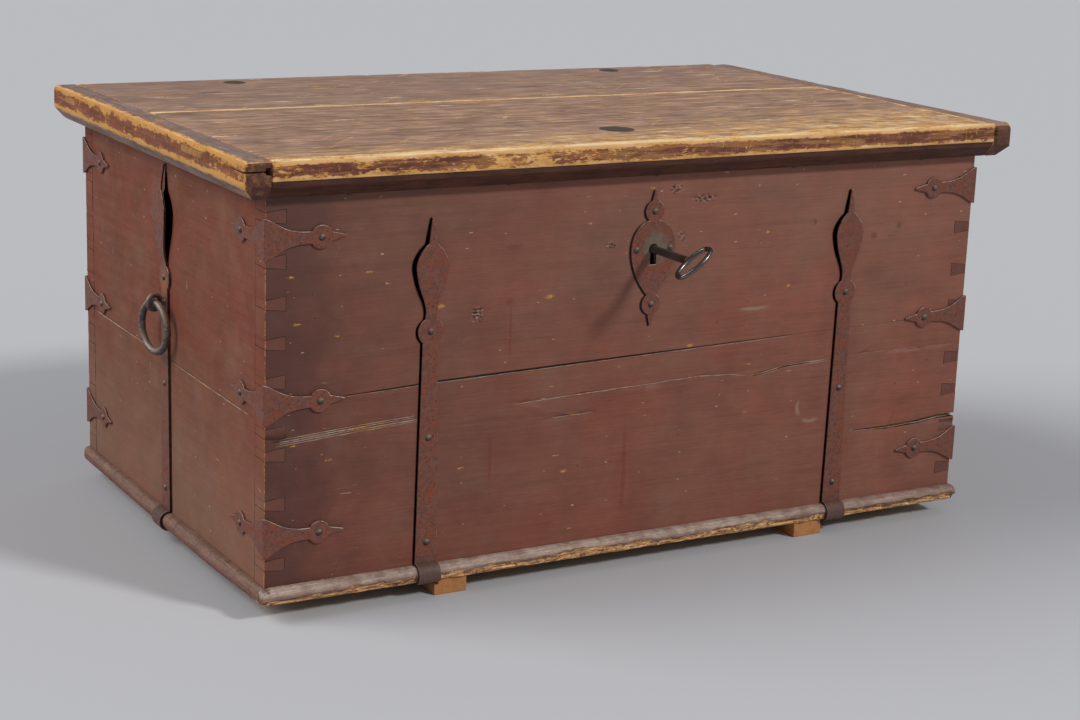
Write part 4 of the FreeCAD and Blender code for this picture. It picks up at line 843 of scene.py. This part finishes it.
def wall_board(wall, level, axis):
    """A board of the walls: eased arrises, planed hollows, paint outside, bare pine inside, dirt in the cracks."""
    wear = bpy.context.scene.chest_wear
    name = f"{wall}_{level}_board"
    low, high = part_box(name)
    bm = source_mesh(name)
    ease_arris(bm, wear.joint_arris, lambda e: is_outline(e) and not at_corner(e), "joint")
    ease_arris(bm, wear.board_arris, lambda e: is_outline(e) and at_corner(e))
    bmesh.ops.triangulate(bm, faces=bm.faces)
    cut_grid(bm, [ladder(low[i], high[i], (40 if i == axis else 60) * MM) for i in range(3)])
    for vert in bm.verts:
        hollow = wear.board_wave * (0.5 + 0.5 * ripple(vert.co, 90 * MM, 1.0))
        if axis == 1 and on_end(vert.co):
            vert.co.x -= math.copysign(hollow, vert.co.x)
        elif axis == 0 and on_front_or_back(vert.co):
            vert.co.y += hollow if vert.co.y < (FRONT_FACE + BACK_FACE) / 2 else -hollow

    def choose(face):
        middle = face.calc_center_median()
        if outside(middle):
            return 1 if on_end(middle) == (axis == 0) else 0
        return 2 if abs(face.normal[1 - axis]) > 0.8 or middle.z > BODY_RIM - TOUCH else 3

    dressed_piece(bm, name, WALL_SKINS[wall], choose)


def lid_plank(name):
    """A lid plank with worn, rounded edges, rubbed paint above and bare pine below."""
    wear = bpy.context.scene.chest_wear
    front = name == "lid_front_plank"
    low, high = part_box(name)
    end = abs(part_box("lid_cleat_right")[0].x)
    low.x, high.x = -end, end
    bm = source_mesh(name)
    cut_grid(bm, [
        ladder(low.x, high.x, 16 * MM, (0.7, 1.8, 4)), ladder(low.y, high.y, 60 * MM, EDGE_CUTS + (15, 24)),
        ladder(low.z, high.z, 4 * MM, (0.8, 2))])
    worn = bm.verts.layers.float.new("wear")
    dirty = bm.verts.layers.float.new("joint")
    for vert in bm.verts:
        co = vert.co.copy()
        if abs(co.x) > end + MM:
            continue
        along = Vector((co.x, 0, 0))
        reach = [min(co[i] - low[i], high[i] - co[i]) for i in range(3)]
        deep = high.z - co.z
        above = deep < co.z - low.z
        outer = (co.y - low.y < high.y - co.y) == front
        if outer:
            long_radius = wear.lid_round if above else wear.lid_under
        else:
            long_radius = wear.joint_round * ((2.6 if front else 0.9) if above else 0.8)
        uneven = 1 + 0.45 * ripple(along, 70 * MM, 2.0) + 0.25 * ripple(along, 18 * MM, 5.0)
        blend = min(1.0, reach[0] / (14 * MM))
        radius = (wear.joint_round * (1 - blend) + long_radius * blend) * max(0.4, uneven)
        vert.co = rounded(co, low, high, radius)
        if deep < 0.5 * MM:
            vert.co.z -= wear.board_wave * (0.6 + 0.5 * ripple(co, 110 * MM, 4.0)) * min(1, reach[1] / (20 * MM))
        width = (34 if deep < 6 * MM else 9) if outer else 11
        level = (1.05 if front or not outer else 0.55) - max(reach[1], reach[2]) / (width * MM)
        handled = 1.0 if front and co.x > 0 else 0.0
        ends = 0.5 + 0.4 * handled - max(reach[0], reach[2]) / ((6 + 10 * handled) * MM)
        seam = not outer and reach[1] < 3 * MM
        patch = max(0.0, 1 - abs(co.x - LID_BARE_AT) / LID_BARE_HALF)
        rub = (0.26 if co.x < LID_BARE_AT else 0.12) + 0.3 * patch + 0.12 * ripple(along, 90 * MM, 11.0)
        vert[worn] = max(rub if outer and reach[1] < MM else -0.1, 0.0 if seam and front else level, ends)
        vert[dirty] = 1.0 if seam and (front or deep > 0.5 * MM) else 0.0

    def choose(face):
        if abs(face.normal.x) > 0.8 and abs(face.calc_center_median().x) > end + MM:
            return 3
        if face.normal.z < -0.7:
            return 2
        return 0 if face.normal.z > 0.6 else 1

    skins = ("rubbed_pine_planks", "rubbed_pine_plank_edge", "planed_pine_long", "sawn_pine_end_grain")
    dressed_piece(bm, name, skins, choose)


def lid_cleat(side, way, under):
    """A cleat across the lid's end: grey above, rubbed red and yellow outside, its edges rounded by wear.

    Its way is 1 to the right and -1 to the left, and under says how many times the lid's under edge it is rounded.
    """
    wear = bpy.context.scene.chest_wear
    name = f"lid_cleat_{side}"
    low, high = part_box(name)
    bm = source_mesh(name)
    cut_grid(bm, [ladder(low[i], high[i], step * MM, EDGE_CUTS) for i, step in enumerate((8, 13, 5))])
    worn = bm.verts.layers.float.new("wear")
    outer_x = high.x if way > 0 else low.x
    for vert in bm.verts:
        co = vert.co.copy()
        along = Vector((0, co.y, 0))
        reach_x = abs(outer_x - co.x)
        reach_y = min(co.y - low.y, high.y - co.y)
        reach_z = high.z - co.z
        uneven = 1 + 0.4 * ripple(along, 60 * MM, 3.0) + 0.25 * ripple(along, 15 * MM, 6.0)
        inner = reach_x > (high.x - low.x) * 0.6 and reach_y >= 16 * MM
        vert.co = rounded(co, low, high, wear.joint_round if inner else wear.lid_under * under * max(0.5, uneven))
        top_edge = 1 - max(reach_x, reach_z) / (15 * MM if reach_z > MM else 13 * MM)
        low_edge = 1 - max(reach_x, abs(co.z - low.z - CLEAT_CHAMFER)) / (9 * MM)
        end_edge = 0.75 - max(reach_y, reach_z) / (6 * MM)
        corner = 0.7 - max(reach_x, reach_y) / (7 * MM)
        broken = 0.3 * ripple(along, 45 * MM, 9.0) if reach_x < MM and reach_y > 30 * MM else 0.0
        vert[worn] = max(0.0, top_edge, low_edge, end_edge, corner, 0.12 + broken) + 0.5 * max(0.0, broken)

    def choose(face):
        deep = high.z - face.calc_center_median().z
        if abs(face.normal.y) > 0.6 and deep > 3 * MM:
            return 3
        if face.normal.x * way > 0.75:
            return 1
        return 2 if deep > 12 * MM and (face.normal.z < -0.9 or face.normal.x * way < -0.7) else 0

    end_skin = "rubbed_pine_cleat_end" if way > 0 else "rubbed_pine_cleat_end_left"
    dressed_piece(
        bm, name, ("rubbed_pine_cleat_top", "rubbed_pine_cleat_side", "planed_pine_across", end_skin), choose)


def bottom_board(name):
    """A bottom board: dusty rounded nose outside, drawn in at its worn corners, broken along its lower front edge."""
    wear = bpy.context.scene.chest_wear
    low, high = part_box(name)
    bm = source_mesh(name)
    cut_grid(bm, [
        ladder(low.x, high.x, (9 if name == "bottom_front_board" else 40) * MM, NOSE_CUTS),
        ladder(low.y, high.y, 40 * MM, NOSE_CUTS), ladder(low.z, high.z, 3 * MM)])
    worn = bm.verts.layers.float.new("wear")
    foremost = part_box("bottom_front_board")[0].y
    for vert in bm.verts:
        co = vert.co.copy()
        ahead = co.y - foremost
        past = max(0.0, abs(co.x) - HALF_WIDTH)
        corner = max(0.0, 1 - ahead / WORN_CORNER) * (0.75 if co.x > 0 else 0.5)
        vert.co.x -= math.copysign(past * (corner + 0.35 * clamp(co.y / BACK_FACE)), co.x)
        if ahead < NOSE_DEPTH:
            along = Vector((co.x, 0, 0))
            border = low.z + (12 + 7 * ripple(along, 95 * MM, 8.0) + 8 * ripple(along, 20 * MM, 3.0)) * MM
            border += 6 * MM * max(0.0, 1 - abs(co.x + 75 * MM) / (80 * MM))
            depth = clamp((border - co.z) / (4 * MM))
            rough_break = 0.55 + 0.35 * ripple(co, 9 * MM, 2.0) + 0.35 * ripple(co, 24 * MM, 5.0)
            broken_off = 1.5 + 1.3 * clamp((co.x - BROKEN_FROM) / (60 * MM))
            torn = 0.35 * ahead + wear.nose_chip * broken_off * max(0.05, rough_break)
            vert.co.y = foremost + ahead + (torn - ahead) * depth * max(0.0, 1 - ahead / (16.5 * MM))
            vert.co.y += 0.7 * MM * (0.5 + 0.5 * ripple(co, 11 * MM, 6.0)) * (1 - depth)
            vert[worn] = depth
        elif min(co.x - low.x, high.x - co.x) < 14 * MM:
            vert.co.x -= math.copysign(0.8 * MM * (0.5 + 0.5 * ripple(co, 30 * MM, 7.0)), co.x)
            vert[worn] = max(0.0, ripple(co, 40 * MM, 9.0) - 0.25) if co.z < low.z + 9 * MM else 0.0

    def choose(face):
        middle = face.calc_center_median()
        past_end = abs(middle.x) > HALF_WIDTH - MM
        if not past_end and FRONT_FACE + MM < middle.y < BACK_FACE - MM:
            return 2
        return 1 if past_end and middle.y > FRONT_FACE else 0

    dressed_piece(bm, name, ("dusty_pine_nose_front", "dusty_pine_nose_end", "planed_pine_long"), choose)


def plain_wood(name, arris, axis, skin):
    """A wooden piece with eased edges and one skin."""
    low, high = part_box(name)
    bm = source_mesh(name)
    ease_arris(bm, arris, lambda e: e.calc_length() > 5 * MM)
    cut_grid(bm, [ladder(low[i], high[i], 30 * MM) if i == axis else [] for i in range(3)])
    for vert in bm.verts:
        if abs(vert.co.z) > TOUCH:
            vert.co += Vector([ripple(vert.co, 40 * MM, i + 1.0) for i in range(3)]) * 0.25 * MM
    dressed_piece(bm, name, [skin])


def forged_piece(name, skin, arris, step, hammer, outward=()):
    """A piece of forged iron: filed arrises, hammer marks, and dirt with painted shade on its sides where they meet the
    wood.

    It is cut a step apart, in millimetres, to be hammered. Outward lists the axes that its clean faces look along.
    """
    low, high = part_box(name)
    bm = source_mesh(name)
    eased = None
    if arris > 0:
        eased = ease_arris(bm, arris, lambda e: e.calc_length() > 0.4 * MM and e.is_convex, rub=IRON_RUB_AND_HIGHLIGHT_WAY)
    if step > 0:
        cut_grid(bm, [ladder(low[i], high[i], step * MM) for i in range(3)])
    bm.normal_update()
    moved = {v: v.co - v.normal * hammer * (0.5 + 0.5 * ripple(v.co, 17 * MM, 3.0)) for v in bm.verts}
    for vert, place in moved.items():
        vert.co = place

    def choose(face):
        # Side faces of the iron, seen as dark edge lines: dirt and painted shade
        beside = outward and face[eased] <= 0.3 and max(abs(face.normal[axis]) for axis in outward) <= 0.55
        return 1 if beside else 0

    dressed_piece(bm, name, (skin, "grimed_wrought_iron"), choose)


def splinter(bm, places, drop, width, proud, seed, outward=FRONT_WAY):
    """A raised sliver of paint and wood along a crack, broken where noise says so. Sizes are in millimetres."""
    rows = []
    for start, stop in zip(places, places[1:]):
        count = max(2, round((stop - start).length / SPLINTER_STEP))
        rows += [start.lerp(stop, i / count) for i in range(count)]
    rows.append(places[-1])
    chain = [None]
    for i, middle in enumerate(rows):
        swell = 0.55 + 0.45 * ripple(middle, 28 * MM, seed) + 0.3 * ripple(middle, 8 * MM, seed + 2)
        size = max(0.0, swell) * min(1.0, i / TAPER_ROWS, (len(rows) - 1 - i) / TAPER_ROWS)
        rise = proud * MM * size
        outline = ((-SPLINTER_ROOT, 0), (rise, -0.2), (0.5 * rise, -0.7), (-SPLINTER_ROOT, -1))
        base = middle - Vector((0, 0, drop * MM))
        chain.append(size >= SPLINTER_LEAST and [
            bm.verts.new(base + outward * out + Vector((0, 0, fall * width * MM * size))) for out, fall in outline])
    chain.append(None)
    for one, other in zip(chain, chain[1:]):
        if one and other:
            for k in range(4):
                bm.faces.new((one[k], one[(k + 1) % 4], other[(k + 1) % 4], other[k]))
    for before, ring, after in zip(chain, chain[1:], chain[2:]):
        if ring and bool(before) != bool(after):
            bm.faces.new(ring if before else ring[::-1])
    bmesh.ops.delete(bm, geom=[v for v in bm.verts if not v.link_faces], context="VERTS")


def crack_splinters():
    """Slivers of lifted paint and wood along the cracks of the front and the open seam of the left end."""
    bm = bmesh.new()
    for i, (name, drop, width) in enumerate(LIPS):
        places = [front_place(min(across, 0.985), rise) for across, rise in CRACKS.get(name, FRONT_SEAM)]
        splinter(bm, places, drop, width, 0.8, 3.0 * i)
    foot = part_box("left_upper_board")[0].z
    for i, pair in enumerate(LEFT_END_LIPS):
        places = [Vector((-HALF_WIDTH, y * MM, foot + rise * MM)) for y, rise in pair]
        splinter(bm, places, 1.0, 3.4, 1.2, 41.0 + i, LEFT_WAY)
    loose_piece(bm, "crack_splinters", "front_lower_board", "torn_pine_splinters")
    bm = bmesh.new()
    splinter(bm, [front_place(*share) for share in FRONT_SEAM], -0.8, 2.6, 0.25, 63.0)
    loose_piece(bm, "seam_dirt", "front_lower_board", "packed_dirt")


def iron_dirt_and_shadow(name, axis, face, lift):
    """A thin line of dirt and painted shadow beside an iron on a wall: the iron's outline laid on the wood and moved
    along it.

    It is moved away from the lights like the iron's shadow, and is widest beside the upper leaf of a strap,
    which stands off the wood above a lift.
    """
    reach = bpy.context.scene.chest_wear.dirt_line
    bm = source_mesh(name)
    low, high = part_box(name)
    out = -1 if (low[axis] + high[axis]) / 2 < face or axis == 0 and low.x < 0 else 1
    cut = bmesh.ops.bisect_plane(
        bm, geom=bm.verts[:] + bm.edges[:] + bm.faces[:], dist=WELD, plane_co=(0, 0, BODY_FOOT + 4 * MM),
        plane_no=(0, 0, -1), clear_outer=True)
    bmesh.ops.holes_fill(bm, edges=[e for e in cut["geom_cut"] if isinstance(e, bmesh.types.BMEdge)])
    for vert in bm.verts:
        proud = (vert.co[axis] - face) * out
        vert.co[axis] = face + out * (DIRT_SHADOW_PROUD if proud > MM else -DIRT_SHADOW_ROOT)
        raised = clamp((vert.co.z - lift) / (high.z - lift)) if high.z > lift else 0.0
        # Moved left on the front and forwards on the ends, away from the lights, like the iron's shadow
        vert.co[1 - axis] -= reach * (1 + 1.3 * math.sin(math.pi * raised))
        vert.co.z -= 0.4 * reach
    # This piece is dirt and the iron's painted shadow
    loose_piece(bm, name + "_dirt", name, "packed_dirt")


# Operators

SIDES = ("left", "right")
# Height above which a strap's upper leaf stands off the wood, where the painted shadow beside it widens
STRAP_LIFT = 430 * MM


class CHEST_OT_walls(bpy.types.Operator):
    """Dresses the boards of the four walls and the cracks in the front"""
    bl_idname = "chest.walls"
    bl_label = "Walls"

    def execute(self, context):
        for wall, axis in (("front", 0), ("back", 0), ("left", 1), ("right", 1)):
            for level in ("upper", "lower"):
                wall_board(wall, level, axis)
        crack_splinters()
        return {"FINISHED"}


class CHEST_OT_base(bpy.types.Operator):
    """Dresses the bottom boards and the runners"""
    bl_idname = "chest.base"
    bl_label = "Base"

    def execute(self, context):
        for place in ("front", "middle", "rear"):
            bottom_board(f"bottom_{place}_board")
        for side in SIDES:
            plain_wood(f"runner_{side}", 1.5 * MM, 1, "sawn_pine_runner")
        return {"FINISHED"}


class CHEST_OT_lid(bpy.types.Operator):
    """Dresses the planks, cleats, pegs and front strip of the lid"""
    bl_idname = "chest.lid"
    bl_label = "Lid"

    def execute(self, context):
        lid_plank("lid_front_plank")
        lid_plank("lid_rear_plank")
        lid_cleat("left", -1, 1.4)
        lid_cleat("right", 1, 3.0)
        plain_wood("lid_front_lip", 1.6 * MM, 0, "rubbed_pine_lip")
        finish_node("lid_pegs", "rubbed_pine_cleat_top")
        return {"FINISHED"}


class CHEST_OT_straps(bpy.types.Operator):
    """Dresses the forged straps on the front and the ends"""
    bl_idname = "chest.straps"
    bl_label = "Straps"

    def execute(self, context):
        wear = context.scene.chest_wear
        for wall, axis in (("front", 1), ("end", 0)):
            for side, end in zip(SIDES, (-HALF_WIDTH, HALF_WIDTH)):
                name = f"{wall}_strap_{side}"
                forged_piece(name, "painted_wrought_iron", wear.iron_arris, 9, wear.hammer, (axis, 2))
                iron_dirt_and_shadow(name, axis, FRONT_FACE if wall == "front" else end, STRAP_LIFT)
        return {"FINISHED"}


class CHEST_OT_corner_irons(bpy.types.Operator):
    """Dresses the irons round the corners"""
    bl_idname = "chest.corner_irons"
    bl_label = "Corner Irons"

    def execute(self, context):
        wear = context.scene.chest_wear
        for name in frame["nodes"]:
            if name.startswith("corner_iron_") and not name.endswith("nails"):
                forged_piece(name, "painted_wrought_iron", wear.iron_arris, 12, wear.hammer, (0, 1))
        return {"FINISHED"}


class CHEST_OT_handles(bpy.types.Operator):
    """Dresses the ring handles and their eyes"""
    bl_idname = "chest.handles"
    bl_label = "Ring Handles"

    def execute(self, context):
        for side in SIDES:
            for part in ("ring", "eye"):
                forged_piece(f"handle_{part}_{side}", "dusty_wrought_iron", 0, 0, context.scene.chest_wear.hammer)
        return {"FINISHED"}


class CHEST_OT_hinges(bpy.types.Operator):
    """Dresses the strap hinges"""
    bl_idname = "chest.hinges"
    bl_label = "Hinges"

    def execute(self, context):
        wear = context.scene.chest_wear
        for side in SIDES:
            for part, skin in (("strap", "painted_wrought_iron"), ("leaf", "black_wrought_iron")):
                forged_piece(f"hinge_{part}_{side}", skin, wear.iron_arris, 14, wear.hammer)
            finish_node(f"hinge_pin_{side}", "black_wrought_iron")
        return {"FINISHED"}


class CHEST_OT_lock(bpy.types.Operator):
    """Dresses the escutcheon and the lock inside"""
    bl_idname = "chest.lock"
    bl_label = "Escutcheon and Lock"

    def execute(self, context):
        wear = context.scene.chest_wear
        forged_piece("escutcheon", "painted_wrought_iron_handled", wear.iron_arris * 0.7, 7, wear.hammer * 0.6, (1,))
        iron_dirt_and_shadow("escutcheon", 1, FRONT_FACE, BODY_RIM)
        for part in ("plate", "cover", "bolt", "hasp"):
            forged_piece(f"lock_{part}", "black_wrought_iron", wear.iron_arris * 0.8, 0, 0)
        return {"FINISHED"}


class CHEST_OT_key(bpy.types.Operator):
    """Finishes the key"""
    bl_idname = "chest.key"
    bl_label = "Key"

    def execute(self, context):
        finish_node("key", "filed_steel_key")
        return {"FINISHED"}


class CHEST_OT_nails(bpy.types.Operator):
    """Finishes the nails and the rivets"""
    bl_idname = "chest.nails"
    bl_label = "Nails and Rivets"

    def execute(self, context):
        finish_node("lid_rivets", "forged_rivet_iron")
        for name in frame["nodes"]:
            if name.endswith("_nails"):
                finish_node(name, "forged_nail_iron")
        return {"FINISHED"}


# Stage

CAMERA_TARGET = Vector((0.03739, 0.053, 0.22226))
CAMERA_AZIMUTH = math.radians(-30.12)
CAMERA_HEIGHT = math.radians(14.22)
CAMERA_ROLL = math.radians(2.07)
CAMERA_DISTANCE = 3.5796
FLOOR_HALF = 30.0
KEY_AZIMUTH, KEY_HEIGHT, KEY_SPREAD = (math.radians(v) for v in (32, 36, 9))
FILL_AZIMUTH, FILL_HEIGHT, FILL_SPREAD = (math.radians(v) for v in (-112, 38, 40))
LIGHT_DISTANCE = 4.0


def look_back(azimuth, height):
    """Direction from the chest to a place round it: azimuth from the front, rightwards, and height above the floor."""
    return Vector((math.sin(azimuth) * math.cos(height), -math.cos(azimuth) * math.cos(height), math.sin(height)))


def far_light(name, azimuth, height, spread, strength):
    """A large far-off light, soft by its spread, that lights chest and floor alike."""
    data = bpy.data.lights.new(name, "SUN")
    data.energy = strength
    data.angle = spread
    lamp = bpy.data.objects.new(name, data)
    direction = look_back(azimuth, height)
    lamp.location = direction * LIGHT_DISTANCE
    lamp.rotation_euler = direction.to_track_quat("Z", "Y").to_euler()
    bpy.context.scene.collection.objects.link(lamp)


class CHEST_OT_stage(bpy.types.Operator):
    """Sets the floor, the lights and the camera"""
    bl_idname = "chest.stage"
    bl_label = "Stage"

    def execute(self, context):
        stage = context.scene.chest_stage
        mesh = bpy.data.meshes.new("studio_floor")
        corners = [(-1, -1), (1, -1), (1, 1), (-1, 1)]
        mesh.from_pydata([(x * FLOOR_HALF, y * FLOOR_HALF, 0) for x, y in corners], [], [(0, 1, 2, 3)])
        mesh.materials.append(studio_paper("matt_studio_paper", stage.floor))
        floor = bpy.data.objects.new("studio_floor", mesh)
        context.scene.collection.objects.link(floor)
        world = bpy.data.worlds.new("studio_air")
        world.use_nodes = True
        backdrop = world.node_tree.nodes["Background"]
        backdrop.inputs["Color"].default_value = stage.sky
        backdrop.inputs["Strength"].default_value = stage.sky_strength
        context.scene.world = world
        context.scene.view_settings.view_transform = "Standard"
        far_light("key_light", KEY_AZIMUTH, KEY_HEIGHT, KEY_SPREAD, stage.key_strength)
        far_light("fill_light", FILL_AZIMUTH, FILL_HEIGHT, FILL_SPREAD, stage.fill_strength)
        back = look_back(CAMERA_AZIMUTH, CAMERA_HEIGHT)
        level = (-back).cross(Vector((0, 0, 1))).normalized()
        rise = level.cross(-back)
        right = level * math.cos(CAMERA_ROLL) + rise * math.sin(CAMERA_ROLL)
        above = rise * math.cos(CAMERA_ROLL) - level * math.sin(CAMERA_ROLL)
        data = bpy.data.cameras.new("photo_camera")
        data.lens = stage.lens
        data.sensor_width = 36.0
        data.sensor_fit = "HORIZONTAL"
        camera = bpy.data.objects.new("photo_camera", data)
        place = CAMERA_TARGET + back * CAMERA_DISTANCE
        camera.matrix_world = Matrix.Translation(place) @ Matrix((right, above, back)).transposed().to_4x4()
        context.scene.collection.objects.link(camera)
        context.scene.camera = camera
        return {"FINISHED"}


class CHEST_PT_panel(bpy.types.Panel):
    """Shows the chest's settings and operators in the sidebar"""
    bl_idname = "CHEST_PT_panel"
    bl_label = "Painted Blanket Chest"
    bl_space_type = "VIEW_3D"
    bl_region_type = "UI"
    bl_category = "Chest"

    def draw(self, context):
        for group in (context.scene.chest_paint, context.scene.chest_wear, context.scene.chest_stage):
            box = self.layout.box()
            for name in group.bl_rna.properties.keys():
                if name not in ("rna_type", "name"):
                    box.prop(group, name)
        for operator in OPERATORS:
            self.layout.operator(operator.bl_idname)


GROUPS = (ChestPaint, ChestWear, ChestStage)
OPERATORS = (
    CHEST_OT_walls, CHEST_OT_base, CHEST_OT_lid, CHEST_OT_straps, CHEST_OT_corner_irons, CHEST_OT_handles,
    CHEST_OT_hinges, CHEST_OT_lock, CHEST_OT_key, CHEST_OT_nails, CHEST_OT_stage,
)


def register():
    """Registers the settings, the operators and the panel."""
    for item in GROUPS + OPERATORS + (CHEST_PT_panel,):
        bpy.utils.register_class(item)
    bpy.types.Scene.chest_paint = bpy.props.PointerProperty(type=ChestPaint)
    bpy.types.Scene.chest_wear = bpy.props.PointerProperty(type=ChestWear)
    bpy.types.Scene.chest_stage = bpy.props.PointerProperty(type=ChestStage)


def unregister():
    """Takes away what register added."""
    del bpy.types.Scene.chest_paint, bpy.types.Scene.chest_wear, bpy.types.Scene.chest_stage
    for item in reversed(GROUPS + OPERATORS + (CHEST_PT_panel,)):
        bpy.utils.unregister_class(item)


def main():
    """Builds every piece."""
    register()
    bpy.ops.chest.walls()
    bpy.ops.chest.base()
    bpy.ops.chest.lid()
    bpy.ops.chest.straps()
    bpy.ops.chest.corner_irons()
    bpy.ops.chest.handles()
    bpy.ops.chest.hinges()
    bpy.ops.chest.lock()
    bpy.ops.chest.key()
    bpy.ops.chest.nails()
    bpy.ops.chest.stage()


if __name__ == "__main__":
    main()
